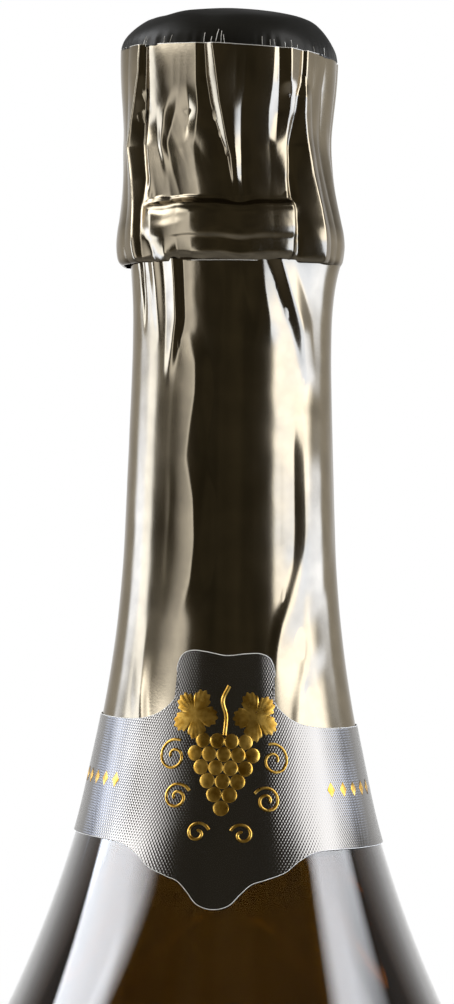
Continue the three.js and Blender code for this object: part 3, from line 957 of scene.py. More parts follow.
@dataclass(frozen=True)
class Stopper:
    """Mushroom cork of pressed granules with two natural discs at the wine."""

    shank_radius: float = 8.75
    shank_bottom: float = 276.0
    disc_thickness: float = 6.0
    glue_line: float = 0.1
    head_bottom: float = 300.2
    head_radius: float = 14.0
    head_top: float = 318.4
    top_round: float = 3.5
    lower_round: float = 2.0
    chamfer: float = 0.6
    columns: int = 96

    def build(self, granules: Material, natural: Material) -> None:
        """Makes the body and the two discs."""
        start = self.shank_bottom + 2 * (self.disc_thickness + self.glue_line)
        body = [
            (0.0, start, 0.0),
            (self.shank_radius, start, 0.2),
            (self.shank_radius, self.head_bottom, 0.6),
            (self.head_radius, self.head_bottom, self.lower_round),
            (self.head_radius, self.head_top, self.top_round),
            (0.0, self.head_top, 0.0),
        ]
        surface = lathe(rounded(body, 8), self.columns)
        make_piece("cork_granules", surface, [granules], Body.CORK, ["cork_body"])
        for name, number in (("cork_disc_lower", 0), ("cork_disc_upper", 1)):
            bottom = self.shank_bottom + number * (self.disc_thickness + self.glue_line)
            disc = [
                (0.0, bottom, 0.0),
                (self.shank_radius, bottom, self.chamfer),
                (self.shank_radius, bottom + self.disc_thickness, 0.15),
                (0.0, bottom + self.disc_thickness, 0.0),
            ]
            surface = lathe(rounded(disc, 5), self.columns)
            make_piece(f"{name}_grain", surface, [natural], Body.CORK, [name])


@dataclass(frozen=True)
class WireCage:
    """Wire cage: twisted legs round the cork, a belt under the ring, a loop at the back and a plaque.

    The leg's line is given by radius and height, and its hook by steps out and up from the belt.
    """

    leg_azimuths: tuple[float, ...] = (45.0, 135.0, -135.0, -45.0)
    leg_line: Outline = (
        (14.2, 315.9), (14.65, 314.9), (14.65, 309.0), (14.7, 303.0), (14.75, 297.0),
        (14.85, 293.0), (15.2, 291.0), (15.72, 290.0), (15.95, 288.9), (15.95, 286.3),
    )  # fmt: skip
    hook: Outline = ((1.2, 0.0), (0.6, -1.04), (-0.4, -1.13))
    leg_points: int = 220
    strand_radius: float = 0.26
    strand_offset: float = 0.22
    twist_pitch: float = 3.4
    top_ring_radius: float = 13.75
    top_ring_height: float = 316.5
    top_ring_wire: float = 0.36
    ring_points: int = 120
    belt_radius: float = 15.1
    belt_height: float = 283.95
    belt_wire: float = 0.55
    loop_axis: float = 17.0
    loop_stem: float = 11.0
    loop_twists: float = 2.0
    loop_wire: float = 0.45
    loop_offset: float = 0.5
    loop_eye_width: float = 6.4
    loop_eye_height: float = 10.0
    loop_eye_turn: Pair = (math.radians(-50), math.radians(230))
    loop_lean: float = math.radians(2.0)
    loop_up: Triple = (0.0, 1.0, 0.35)
    loop_samples: int = 60
    loop_step: int = 4
    loop_points: int = 260
    plaque_radius: float = 13.3
    plaque_top: float = 319.0
    plaque_wall: float = 0.45
    plaque_bead: float = 0.25
    plaque_columns: int = 96

    def leg(self, azimuth: float, phase: float) -> Surface:
        """Makes one strand of a leg: a helix about the leg's line, with its hook round the belt."""
        start = (self.top_ring_radius, self.top_ring_height)
        hook = ((self.belt_radius + out, self.belt_height + up) for out, up in self.hook)
        line = spline([start, *self.leg_line, *hook], self.leg_points)
        turn = phase + 2 * np.pi * travelled(line) / self.twist_pitch
        direction = math.radians(azimuth)
        middle = polar(line[:, 0], direction, line[:, 1])
        across = np.array([math.cos(direction), math.sin(direction), 0.0])
        slope = unit(np.gradient(line, axis=0))
        outward = polar(-slope[:, 1], direction, slope[:, 0])
        wound = np.cos(turn)[:, None] * across + np.sin(turn)[:, None] * outward
        return tube(middle + self.strand_offset * wound, self.strand_radius, across, sides=8)

    def ring(self, radius: float, height: float, wire: float) -> Surface:
        """Makes a wire ring about the axis."""
        azimuth = np.linspace(-np.pi, np.pi, self.ring_points, endpoint=False)
        return tube(polar(radius, azimuth, height), wire, UP, True)

    def loop(self) -> Surface:
        """Makes the loop of one wire: up the stem as a helix, round the eye and down again."""
        share = np.linspace(0, 1, self.loop_samples)
        helix = self.loop_offset * circle(2 * np.pi * self.loop_twists * share)
        rising = np.concatenate([helix, self.loop_stem * share[:, None]], axis=1)
        falling = rising[::-1] * np.array([-1.0, -1.0, 1.0])
        angle = np.linspace(*self.loop_eye_turn, self.loop_samples)
        eye_x = self.loop_eye_width / 2 * np.cos(angle)
        eye_z = self.loop_stem + self.loop_eye_height / 2 * (1 + np.sin(angle))
        eye = np.stack([eye_x, np.zeros_like(angle), eye_z], axis=-1)
        path = spline(np.vstack([rising, eye, falling])[:: self.loop_step], self.loop_points)
        placed = path + np.array([0.0, self.loop_axis, self.belt_height])
        placed[:, 1] -= math.tan(self.loop_lean) * path[:, 2]
        return tube(placed, self.loop_wire, np.array(self.loop_up), sides=10)

    def plaque(self) -> Surface:
        """Makes the cap: a flat top with a raised bead and a rim that follows the cork's shoulder."""
        top, rim = self.plaque_top, self.plaque_radius
        bead, under = top + self.plaque_bead, top - self.plaque_wall
        flat = [(0.0, top, 0), (5.0, top, 0.4), (5.5, bead, 0.3), (6.3, bead, 0.3), (6.8, top, 0.4)]
        edge = [(rim - 2.2, top - 0.05, 1.2), (rim, top - 1.35, 0.25), (rim - 0.25, top - 1.6, 0.15)]
        lower = [(rim - 2.3, under, 1.2), (0.0, under, 0)]
        return lathe(rounded(flat + edge + lower, 6), self.plaque_columns)

    def build(self, wire: Material, paint: Material) -> None:
        """Makes frame, belt, loop and plaque."""
        strands = [self.leg(azimuth, phase) for azimuth in self.leg_azimuths for phase in (0.0, np.pi)]
        top_ring = self.ring(self.top_ring_radius, self.top_ring_height, self.top_ring_wire)
        frame_wire = gather([top_ring, *strands])
        belt = self.ring(self.belt_radius, self.belt_height, self.belt_wire)
        make_piece("cage_twisted_frame", frame_wire, [wire], Body.CAGE, ["cage_frame"])
        make_piece("cage_belt_wire", belt, [wire], Body.CAGE, ["cage_belt"])
        make_piece("cage_loop_wire", self.loop(), [wire], Body.CAGE, ["cage_loop"])
        make_piece("cage_cap", self.plaque(), [paint], Body.CAGE, ["cage_plaque"])


# Foil


@dataclass(frozen=True)
class Crease:
    """One fold with straight flanks, as the foil of a capsule is pressed.

    Attributes:
        stations: Rows of height, azimuth of the crest, rise, and widths of the left and right flank.
        fade: Length over which the fold runs out past its first and last station.
    """

    stations: Stations
    fade: float = 1.6

    def field(self, azimuth: np.ndarray, z: np.ndarray, radius: float) -> np.ndarray:
        """Returns the fold's height over the plain foil: a tent across, drawn between the stations along.

        Args:
            azimuth: Degrees from the front.
            z: Heights.
            radius: Radius that turns azimuths into lengths.

        Returns:
            Millimetres outward.
        """
        crest, rise, left, right = between(self.stations, z)
        along = np.radians((azimuth - crest + 180) % 360 - 180) * radius
        tent = np.clip(1 - np.abs(along) / np.where(along < 0, left, right), 0, 1)
        low, high = min(self.stations)[0], max(self.stations)[0]
        return rise * tent * ease(z, low - self.fade, low) * (1 - ease(z, high, high + self.fade))


@dataclass(frozen=True)
class Ruffle:
    """Part of the hood where the foil is crumpled more.

    Attributes:
        depth: Depth of the added crumples.
        height: Height of its middle, and its half height.
        azimuth: Azimuth of its middle, and its half width; without one it goes all round.
    """

    depth: float
    height: Pair
    azimuth: Pair | None = None

    def field(self, azimuth: np.ndarray, z: np.ndarray) -> np.ndarray:
        """Returns the depth at azimuths and heights."""
        across = bell(azimuth, *self.azimuth) if self.azimuth else 1.0
        return self.depth * bell(z, *self.height) * across


def facets(lines: Iterable[Stations], azimuth: np.ndarray, z: np.ndarray) -> np.ndarray:
    """Spans facets between neighbouring fold lines: the offset runs straight from one line to the next.

    Args:
        lines: Fold lines from left to right, as rows of height, azimuth and offset.
        azimuth: Degrees from the front.
        z: Heights.

    Returns:
        Millimetres over the plain foil.
    """
    drawn = [between(line, z) for line in lines]
    total = np.zeros(np.broadcast(azimuth, z).shape)
    for (start, low), (end, high) in zip(drawn, drawn[1:]):
        share = (azimuth - start) / (end - start)
        total = total + np.where((share >= 0) & (share < 1), low + (high - low) * share, 0)
    return total


# Lines along which the hood is bent, from left to right: height, azimuth and offset of each station
# fmt: off
HOOD_LINES: dict[str, Stations] = {
    "left end": ((316, -82, 0.0), (281, -82, 0.0)),
    "left flap's bend": (
        (316, -66, -0.15), (308, -68, 0.0), (299, -72, 0.2), (290, -68, 0.0), (281, -66, -0.1),
    ),
    "left flap's crest": (
        (316, -51, 0.7), (310, -52, 0.8), (306, -56, 0.95), (303, -60, 1.05), (299, -63.5, 1.2),
        (294, -60, 1.0), (290, -58.5, 0.7), (286, -57, 0.5), (281, -56, 0.4),
    ),
    "left groove": (
        (316, -48.5, -0.2), (310, -50, -0.4), (306, -52.5, -0.7), (303, -54.5, -0.9), (299, -55.3, -0.9),
        (294, -52.5, -0.7), (290, -54, -0.4), (286, -53, -0.5), (281, -52.5, -0.4),
    ),
    "side of the middle panel": (
        (316, -47, -0.15), (308, -46.5, -0.25), (304, -49.5, -0.45), (299, -50, -0.05), (294, -48.5, -0.05),
        (290.5, -50, -0.3), (286, -50, -0.4), (281, -49.5, -0.4),
    ),
    "edge of the middle panel": (
        (316, -36.8, 0.0), (308, -36.2, 0.05), (304, -42, -0.2), (299, -42.5, -0.55), (294, -39.5, -0.6),
        (291.2, -42, -0.6), (290.2, -43.5, -0.2), (285, -46, -0.1), (282.5, -46, -0.4),
    ),
    "first crinkle": (
        (316, -30, 0.07), (308, -30, 0.1), (304, -36, 0.1), (299, -40, -0.3), (294, -37, -0.7),
        (290.8, -36.5, -0.9), (290.0, -36, -0.35), (285, -36, 0.0), (282.5, -36, 0.25),
    ),
    "second crinkle": (
        (316, -25, 0.24), (308, -26, 0.22), (304, -30, -0.35), (299, -36, -0.75), (294, -32.5, -0.8),
        (290.8, -30, -0.9), (290.0, -28.5, -0.35), (285, -29, 0.0), (282.5, -29, -0.3),
    ),
    "third crinkle": (
        (316, -21, 0.47), (308, -22, 0.42), (304, -21.5, -0.5), (299, -24, -0.4), (294, -24, -0.45),
        (290.8, -22, -0.55), (290.0, -21, -0.25), (288.5, -21, 0.0),
    ),
    "left edge of the dark groove": (
        (316, -16.4, 0.84), (308, -16, 0.85), (304, -15.5, 0.55), (299, -18.5, -0.2), (294, -18.4, -0.3),
        (290.8, -17.5, -0.35), (290.0, -17, -0.1), (288.5, -17, 0.0),
    ),
    "foot of the bright step": (
        (316, -12.6, 0.5), (309, -11.2, 0.25), (305, -8.9, 0.1), (301, -4.4, 0.05), (297, 0.2, 0.05),
        (290.5, 2, 0.0),
    ),
    "crest of the bright step": (
        (316, -8.9, 1.5), (309, -5.5, 1.8), (305, -3.8, 1.65), (301, -1.0, 1.15), (297, 1.6, 0.5),
        (290.5, 3.5, 0.0),
    ),
    "crest of the middle ridge": (
        (316, 4, 0.85), (308, 4, 0.95), (304, 3, 1.15), (299, 3.9, 0.8), (294, 4.4, 0.4), (290.5, 4.8, 0.0),
    ),
    "foot of the middle ridge": (
        (316, 9, 0.75), (308, 8.7, 0.75), (304, 7.4, 0.65), (299, 7.8, 0.35), (294, 7.2, 0.05),
        (290.5, 8, 0.0),
    ),
    "crest of the right strip": (
        (316, 24.2, 0.85), (308, 23.3, 1.0), (304, 22.5, 0.8), (299, 23.5, 0.35), (294, 24, 0.15),
        (290.5, 22, 0.1),
    ),
    "foot of the right strip": (
        (316, 25.4, 0.72), (308, 27, 0.55), (304, 28, 0.1), (299, 27, 0.45), (294, 27, 0.25),
        (290.5, 28, 0.3),
    ),
    "right edge of the middle panel": (
        (316, 31, 1.6), (308.5, 32, 1.65), (306.5, 34, 1.1), (304, 34.5, 0.85), (299, 33.5, 0.6),
        (294, 32.5, 0.5), (290.5, 33, 0.5),
    ),
    "right groove": (
        (316, 41.5, 0.3), (308.5, 41, 0.3), (306.5, 38.5, 0.7), (304, 38.5, 0.5), (299, 36.5, -0.5),
        (294, 35.5, -0.6), (290, 36.5, -0.6), (286, 37, -0.9), (281, 38, -0.7),
    ),
    "right flap's crest": (
        (316, 43.5, 0.8), (308.5, 43.2, 0.85), (306.5, 42, 1.6), (304, 43, 1.45), (299, 46.5, 1.4),
        (294, 48.5, 1.35), (290, 50, 1.4), (286, 50.5, 1.3), (281, 51, 1.1),
    ),
    "right flap's bend": (
        (316, 50, 0.1), (308, 50, 0.2), (304, 52.5, 0.2), (299, 56, 0.2), (294, 57.5, 0.2),
        (290, 58.5, 0.15), (281, 60, 0.05),
    ),
    "right flap": (
        (316, 64, -0.1), (312, 64, -0.35), (308, 64, -0.65), (304, 66, -0.65), (299, 68, -0.55),
        (290, 70, -0.4), (281, 70, -0.2),
    ),
    "right end": ((316, 86, 0.0), (281, 86, 0.0)),
}

SLEEVE_CREASES = (
    # crumples at the left edge under the hood
    Crease(((281, -63, -0.5, 1.0, 0.8), (276, -61, -0.4, 0.7, 0.7), (272, -60, -0.15, 0.5, 0.6))),
    Crease(((283, -50, 0.6, 1.8, 1.2), (276, -48, 0.35, 1.6, 1.0), (270, -46, 0.1, 1.0, 0.8))),
    # left pleat that ends in a point
    Crease(((283, -33, 1.2, 2.6, 0.9), (272, -32, 0.9, 2.4, 1.0), (264, -38, 0.15, 1.0, 1.0))),
    # broad lobe left of the middle, with a waist
    Crease((
        (269, -24, 0.15, 2.0, 2.0), (266, -20.5, 0.4, 3.2, 2.4), (261, -20, 0.5, 4.0, 2.8),
        (256, -23, 0.4, 3.4, 3.2), (251, -25.5, 0.3, 2.8, 3.4), (245, -20, 0.45, 4.0, 3.2),
        (238, -18.5, 0.55, 4.6, 3.0), (232, -20.5, 0.45, 4.2, 3.0), (228, -26, 0.15, 3.0, 3.0),
    )),
    # right pleat that slants outwards
    Crease(((283, 15, 0.3, 3.0, 1.8), (277, 18, 0.35, 3.0, 2.2), (272, 22, 0.2, 3.0, 2.2)), 4.0),
    Crease(((283, 24, 0.7, 2.1, 3.0), (271, 42.5, 0.65, 1.8, 3.0), (264.5, 46, 0.2, 0.7, 3.0))),
    # long step on the right that turns towards the label
    Crease((
        (257, 43.5, 0.3, 1.7, 10.0), (252, 43.5, 0.58, 1.9, 10.0), (240, 43.5, 0.68, 1.9, 10.0),
        (235.5, 41.8, 0.58, 1.7, 9.0), (230.9, 36.3, 0.4, 1.5, 7.0), (225.8, 27.5, 0.3, 1.3, 5.0),
        (221.5, 23.2, 0.15, 1.0, 3.0),
    ), 3.0),
    Crease(((258, 43.5, 0.1, 4.0, 8.0), (250, 43.5, 0.28, 4.2, 8.0), (238, 43, 0.28, 4.2, 8.0)), 4.0),
    # short folds over the label
    Crease(((229, 43.5, 0.1, 0.7, 4.0), (221.5, 42.5, 0.35, 0.8, 4.0), (217, 37, 0.2, 0.8, 3.0))),
    Crease(((218, 38, 0.1, 1.2, 0.8), (213, 34, 0.25, 1.2, 0.9), (207, 32, 0.2, 1.2, 0.9)), 5.0),
    Crease(((221, -46, 0.1, 2.0, 1.6), (214, -44, 0.35, 2.2, 1.0), (205, -38, 0.3, 2.0, 1.0)), 6.0),
)
# fmt: on


@dataclass(frozen=True)
class CrumpleWaves:
    """Small facets: slanted waves of straight slopes whose lines are bent by slower waves.

    Attributes:
        counts: Waves round the foil; the depth of each falls as its count grows.
        pitch: Range of the heights that one wave climbs over.
        bend: Share of a wave by which the lines are bent.
        bend_counts: Range of the slower waves round the foil.
        bend_heights: Range of their lengths up the foil.
        share: Divides the sum of the waves.
    """

    counts: tuple[int, ...] = (9, 14, 19, 25, 31)
    pitch: Pair = (12, 30)
    bend: float = 0.35
    bend_counts: tuple[int, int] = (2, 5)
    bend_heights: Pair = (2.5, 6)
    share: float = 3.0

    def field(self, azimuth: np.ndarray, z: np.ndarray, seed: int) -> np.ndarray:
        """Returns the facets' heights, of about 1 in all.

        Args:
            azimuth: Degrees from the front.
            z: Heights.
            seed: Number that picks the waves.

        Returns:
            Heights over the plain foil.
        """
        pick = np.random.default_rng(seed)
        total = np.zeros(np.broadcast(azimuth, z).shape)
        for count in self.counts:
            pitch = pick.uniform(*self.pitch) * pick.choice((-1, 1))
            slow = np.radians(azimuth) * pick.integers(*self.bend_counts)
            bend = self.bend * np.sin(slow + z / pick.uniform(*self.bend_heights))
            wave = triangle(count * azimuth / 360 + z / pitch + bend + pick.uniform())
            total = total + wave * self.counts[0] / count
        return total / self.share


@dataclass(frozen=True)
class BackFolds:
    """Folds on the back half of the foil, scattered by sines of their number.

    Attributes:
        count: How many there are.
        first: Azimuth of the first one.
        pitch: Degrees from one to the next.
        scatter: Degrees by which they leave the even pitch.
        slant: Degrees by which their lower ends stand aside.
        rise: Mean height over the plain foil, and how far it varies.
        flanks: Widths of the narrow and the wide flank.
        top: Height at which they start.
        uneven: How far their lower ends vary in height.
        radius: Radius that turns azimuths into lengths.
    """

    count: int = 9
    first: float = 104.0
    pitch: float = 19.0
    scatter: float = 5.0
    slant: float = 5.0
    rise: Pair = (0.75, 0.35)
    flanks: Pair = (2.2, 3.0)
    top: float = 316.0
    uneven: float = 2.5
    radius: float = 16.5

    def field(self, azimuth: np.ndarray, z: np.ndarray, low: float, taper: float) -> np.ndarray:
        """Returns the folds' height over the plain foil.

        Args:
            azimuth: Degrees from the front.
            z: Heights.
            low: Height at which the folds begin to run out.
            taper: Length over which they run out.

        Returns:
            Millimetres outward.
        """
        narrow, wide = self.flanks
        total = np.zeros(np.broadcast(azimuth, z).shape)
        for number in range(self.count):
            crest = self.first + self.pitch * number + self.scatter * math.sin(2.3 * number)
            rise = self.rise[0] + self.rise[1] * math.sin(1.9 * number)
            foot = crest + self.slant * math.cos(1.3 * number)
            start = low + self.uneven * math.sin(1.7 * number)
            stations = ((self.top, crest, rise, narrow, wide), (start, foot, rise, wide, narrow))
            total = total + Crease(stations, taper).field(azimuth, z, self.radius)
        return total


@dataclass(frozen=True)
class FoilCapsule:
    """Foil over cork and neck: hood, top disc and sleeve.

    Outlines of hood, panel and sway start with a height, the dome's with a radius. A dent has an azimuth,
    a distance from the axis, a depth and a size; a crimp an azimuth and a rise over the seam.
    """

    # fmt: off
    glass: GlassShape
    crumple: CrumpleWaves = CrumpleWaves()
    back_folds: BackFolds = BackFolds()
    wall: float = 0.12
    columns: int = 600
    front_share: float = 0.45
    inner_rows: int = 14
    seam_height: float = 313.9
    seam_radius: float = 16.9
    seam_tilt: float = math.radians(2.2)
    sway: Outline = (
        (280.0, -0.3), (288.0, -0.4), (296.0, -0.9), (300.0, -1.1), (306.0, -1.0), (311.0, -0.92),
        (315.0, -0.85), (318.0, -0.5), (320.0, -0.35), (322.0, -0.3),
    )
    sway_end: Pair = (95.0, 125.0)
    sway_points: int = 120

    hood_rows: int = 128
    outline_points: int = 300
    hem_height: float = 281.0
    hem_crowding: float = 1.25
    cut_edge: float = 0.1
    # painted highlight: row, middle azimuth and half width of the hem's front faces that take the paler
    # finish as a bright crease line
    hem_highlight_row: int = 1
    hem_highlight_middle: float = -3.5
    hem_highlight_half: float = 19.0
    panel_left: Pair = (-55.0, -46.0)
    panel_right: Pair = (33.0, 40.0)
    panel_outline: Outline = (
        (280.9, 15.8), (281.4, 16.4), (282.3, 16.95), (283.4, 17.12), (284.4, 17.22), (285.2, 17.48),
        (286.2, 17.62), (287.4, 17.62), (288.6, 17.6), (289.4, 17.4), (289.9, 16.9), (290.4, 16.25),
        (290.75, 16.03), (291.2, 15.98), (293.0, 16.02), (296.0, 16.15), (301.0, 16.1), (305.0, 16.35),
        (309.0, 16.7), (312.0, 16.85), (316.0, 16.9),
    )
    step_waves: Stations = ((0.22, 7, 1.0), (0.08, 17, 0.0))
    hood_outline: Outline = (
        (280.9, 16.5), (281.3, 17.25), (282.2, 17.65), (284.2, 17.85), (286.2, 17.7), (288.4, 17.3),
        (291.5, 16.8), (296.0, 16.3), (301.0, 16.1), (305.0, 16.35), (309.0, 16.7), (312.0, 16.85),
        (316.0, 16.9),
    )
    hood_back: Pair = (276.0, 1.6)
    hood_blur: Pair = (0.6, 0.9)
    hood_seed: int = 7
    least_ruffle: float = 0.04
    ruffles: tuple[Ruffle, ...] = (
        Ruffle(0.1, (298.0, 6.0)),
        Ruffle(0.2, (298.0, 6.0), (-33, 13)),
        Ruffle(0.15, (298.0, 6.0), (43, 13)),
        Ruffle(0.2, (282.5, 1.5)),
        Ruffle(0.2, (286.0, 4.0), (43, 13)),
    )
    loop_cover: Stations = (
        (281.0, 17.7, 4.0), (284.0, 18.1, 4.0), (290.0, 17.95, 4.0), (295.0, 17.75, 7.0),
        (299.0, 17.5, 13.0), (303.0, 17.35, 11.0), (305.5, 17.1, 6.0), (309.0, 16.0, 2.0),
    )
    cover_slope: float = 0.2

    dome_columns: int = 360
    dome_rows: int = 90
    dome_outline: Outline = (
        (0.0, 321.0), (4.0, 320.95), (7.3, 320.55), (10.4, 319.9), (12.3, 319.3), (13.5, 318.7),
        (14.8, 317.6), (15.9, 316.3), (16.5, 315.1), (16.8, 313.7),
    )
    dome_tuck: Outline = ((16.35, 313.3), (16.35, 312.3), (16.15, 312.3), (16.15, 313.3))
    dome_inside: Triple = (0.985, 0.985, 1.0)
    dome_wall: float = 0.15
    dome_tilt: Pair = (12.0, 16.8)
    dome_waves: Stations = ((0.06, 3, 0.7, 0.0), (0.048, 5, 0.0, 0.4), (0.036, 8, 0.0, -1.0))
    wave_reach: Pair = (3.0, 16.0)
    dents: Stations = (
        (26, 9.5, -0.2, 2.8), (-38, 12.0, 0.3, 2.4), (-12, 12.5, -0.2, 2.4),
        (-90, 12.0, 0.35, 2.0), (-90, 7.0, -0.15, 2.0), (-140, 11.0, -0.4, 3.0),
    )
    dent_end: Pair = (15.0, 16.6)
    pleat_depth: float = 0.2
    pleat_counts: tuple[int, int] = (67, 11)
    pleat_bend: Pair = (0.8, 4)
    pleat_shift: float = 0.3
    pleat_band: Pair = (314.2, 316.6)
    crimp_wire: float = 0.05
    crimp_points: int = 8
    crimp_start: float = 0.3
    crimp_places: Outline = (
        (-51, 1.2), (-49, 0.8), (-36, 1.1), (-33, 1.3), (-13, 1.6), (-9.5, 1.0), (-7, 2.2), (-4, 2.0),
        (-2, 1.4), (17.5, 1.5), (22, 1.1), (25, 1.2), (31, 0.9), (35, 1.4), (38, 0.8), (52, 1.0), (62, 1.2),
    )

    sleeve_rows: int = 140
    top_crowding: float = 1.4
    sleeve_top: float = 281.4
    sleeve_bottom: float = 203.0
    sleeve_fit: float = 0.36
    sleeve_radius: float = 15.8
    stand_off: float = 1.53
    stand_off_right: float = 0.54
    stand_off_front: float = 0.4
    stand_off_height: float = 6.0
    sleeve_back: Pair = (270.0, 14.0)
    sleeve_back_share: float = 0.8
    sleeve_blur: Pair = (1.4, 1.6)
    sleeve_seed: int = 11
    gathered_depth: float = 0.2
    gathered_height: float = 9.0
    gathered_end: Pair = (-5.0, 25.0)
    label_least: float = 0.35
    label_hold: Pair = (200.0, 214.0)
    # fmt: on

    def azimuths(self) -> np.ndarray:
        """Returns the columns' azimuths in degrees, closer together at the front by a sine."""
        turn = np.linspace(-1, 1, self.columns, endpoint=False)
        return 180 * (turn - self.front_share / np.pi * np.sin(np.pi * turn))

    def drop(self, azimuth: np.ndarray) -> np.ndarray:
        """Returns how far the seam, which lies in a tilted plane, sinks at azimuths in degrees."""
        return self.seam_radius * math.tan(self.seam_tilt) * np.sin(np.radians(azimuth))

    def lean(self, azimuth: np.ndarray, z: np.ndarray) -> np.ndarray:
        """Returns how far the front half of hood and dome stands to the right of the axis."""
        sway = np.interp(z, *spline(self.sway, self.sway_points).T)
        return sway * (1 - ease(np.abs(azimuth), *self.sway_end))

    def over_loop(self, azimuth: np.ndarray, z: np.ndarray) -> np.ndarray:
        """Returns the radius of a tent that covers the cage's wire loop at the back."""
        top, half = between(self.loop_cover, z)
        return top - self.cover_slope * np.maximum(180 - np.abs(azimuth) - half, 0)

    def round_wall(
        self, azimuth: np.ndarray, z: np.ndarray, radius: np.ndarray, aside: np.ndarray
    ) -> Surface:
        """Closes a wall from its outer radius grid, with fewer rows on the inside.

        Args:
            azimuth: Degrees, as one row.
            z: Grid of heights.
            radius: Grid of outer radii.
            aside: Grid of shifts to the right.

        Returns:
            The closed wall.
        """
        turn = np.radians(azimuth)
        kept = np.linspace(0, len(z) - 1, self.inner_rows).astype(int)
        outer = polar(radius, turn, z)
        inner = polar(radius[kept] - self.wall, turn, z[kept])
        outer[..., 0] += aside
        inner[..., 0] += aside[kept]
        return shell(outer, inner)

    def hood_base(self, azimuth: np.ndarray, z: np.ndarray) -> np.ndarray:
        """Returns the hood's plain radius: tight on the front's panel, loose elsewhere."""
        turn = np.radians(azimuth)
        uneven = z + sum(size * np.sin(count * turn + phase) for size, count, phase in self.step_waves)
        panel = np.interp(uneven, *spline(self.panel_outline, self.outline_points).T)
        loose = np.interp(z, *spline(self.hood_outline, self.outline_points).T)
        tight = ease(azimuth, *self.panel_left) * (1 - ease(azimuth, *self.panel_right))
        return loose + tight * (panel - loose)

    def bare_and_highlight_faces(self, azimuth: np.ndarray, count: int) -> np.ndarray:
        """Marks the hood's faces that take the paler finish: the cut edge at the seam, which is bare metal,
        and a painted highlight along the hem's crease at the front.

        Args:
            azimuth: Degrees, as one row.
            count: Number of the hood's faces.

        Returns:
            1 for a face of the cut edge and for a face of the painted highlight, 0 for the others.
        """
        bare_and_highlight = np.zeros(count, np.int32)
        bare_and_highlight[(self.hood_rows - 2) * self.columns : self.hood_rows * self.columns] = 1
        # painted highlight: one row of faces near the hem, at the front, takes the paler finish to stand for
        # the bright crease line
        highlight_columns = np.flatnonzero(np.abs(azimuth[0] - self.hem_highlight_middle) < self.hem_highlight_half)
        bare_and_highlight[self.hem_highlight_row * self.columns + highlight_columns] = 1
        return bare_and_highlight

    def hood(self) -> Surface:
        """Makes the hood: its outline goes round, and creases and crumples are added to the radius."""
        azimuth = self.azimuths()[None, :]
        seam = self.seam_height - self.drop(azimuth)
        share = np.linspace(0, 1, self.hood_rows - 1)[:, None] ** self.hem_crowding
        rows = self.hem_height + (seam - self.cut_edge - self.hem_height) * share
        z = np.vstack([rows, seam])
        folds = facets(HOOD_LINES.values(), azimuth, z) + self.back_folds.field(azimuth, z, *self.hood_back)
        ruffled = self.least_ruffle + sum(ruffle.field(azimuth, z) for ruffle in self.ruffles)
        folds = folds + ruffled * (self.crumple.field(azimuth, z, self.hood_seed) - 0.5)
        radius = self.hood_base(azimuth, z) + blur(folds, *self.hood_blur)
        covering = np.maximum(radius, self.over_loop(azimuth, z))
        surface = self.round_wall(azimuth, z, covering, self.lean(azimuth, z))
        surface.finishes = self.bare_and_highlight_faces(azimuth, len(surface.faces))
        return surface

    def dented(self, azimuth: np.ndarray, radius: np.ndarray, z: np.ndarray) -> np.ndarray:
        """Bends the dome's plain outline: soft waves and dents, pleats over the seam and the seam's tilt.

        Args:
            azimuth: Degrees from the front.
            radius: Radii of the plain outline.
            z: Its heights.

        Returns:
            Points on the dome.
        """
        turn = np.radians(azimuth)
        grown, reach = radius, ease(radius, *self.wave_reach)
        for size, count, phase, twist in self.dome_waves:
            grown = grown + size * np.sin(count * turn + phase + twist * radius) * reach
        pressed = 0.0
        for place, distance, depth, size in self.dents:
            apart = radius**2 + distance**2 - 2 * radius * distance * np.cos(turn - math.radians(place))
            pressed = pressed + depth * np.exp(-apart / (2 * size**2))
        fine, coarse = (count * azimuth / 360 for count in self.pleat_counts)
        size, count = self.pleat_bend
        pleats = triangle(fine + size * np.sin(count * turn)) * triangle(coarse + self.pleat_shift)
        grown = grown + self.pleat_depth * pleats * (1 - ease(z, *self.pleat_band))
        sunk = self.drop(azimuth) * ease(radius, *self.dome_tilt)
        points = polar(grown, turn, z - sunk + pressed * (1 - ease(radius, *self.dent_end)))
        points[..., 0] += self.lean(azimuth, z)
        return points

    def top_disc(self) -> Surface:
        """Makes the dome: its outline goes round with dents and pleats, and tucks in under the hood."""
        azimuth = np.linspace(-180, 180, self.dome_columns, endpoint=False)[None, :]
        line = spline(self.dome_outline, self.dome_rows)
        upper = self.dented(azimuth, line[:, :1], line[:, 1:])
        tuck = np.array(self.dome_tuck)
        hidden = polar(tuck[:, :1], np.radians(azimuth), tuck[:, 1:] - self.drop(azimuth))
        hidden[..., 0] += self.lean(azimuth, tuck[:, 1:])
        # every third row is enough on the inside
        lower = upper[::-3] * np.array(self.dome_inside) - self.dome_wall * UP
        points = np.concatenate([upper, hidden, lower])
        return Surface(points.reshape(-1, 3), grid_faces(len(points), self.dome_columns, False, True))

    def crimps(self) -> Surface:
        """Makes the bright crimped hems over the seam as thin wires that lie up the dome's side."""
        line = spline(self.dome_outline, self.dome_rows)[::-1]
        ticks = []
        for azimuth, rise in self.crimp_places:
            z = np.linspace(self.seam_height - self.crimp_start, self.seam_height + rise, self.crimp_points)
            around = azimuth + np.linspace(0, math.sin(7 * azimuth), self.crimp_points)
            path = self.dented(around, np.interp(z, line[:, 1], line[:, 0]), z)
            ticks.append(tube(path, self.crimp_wire, UP, sides=6))
        return gather(ticks)

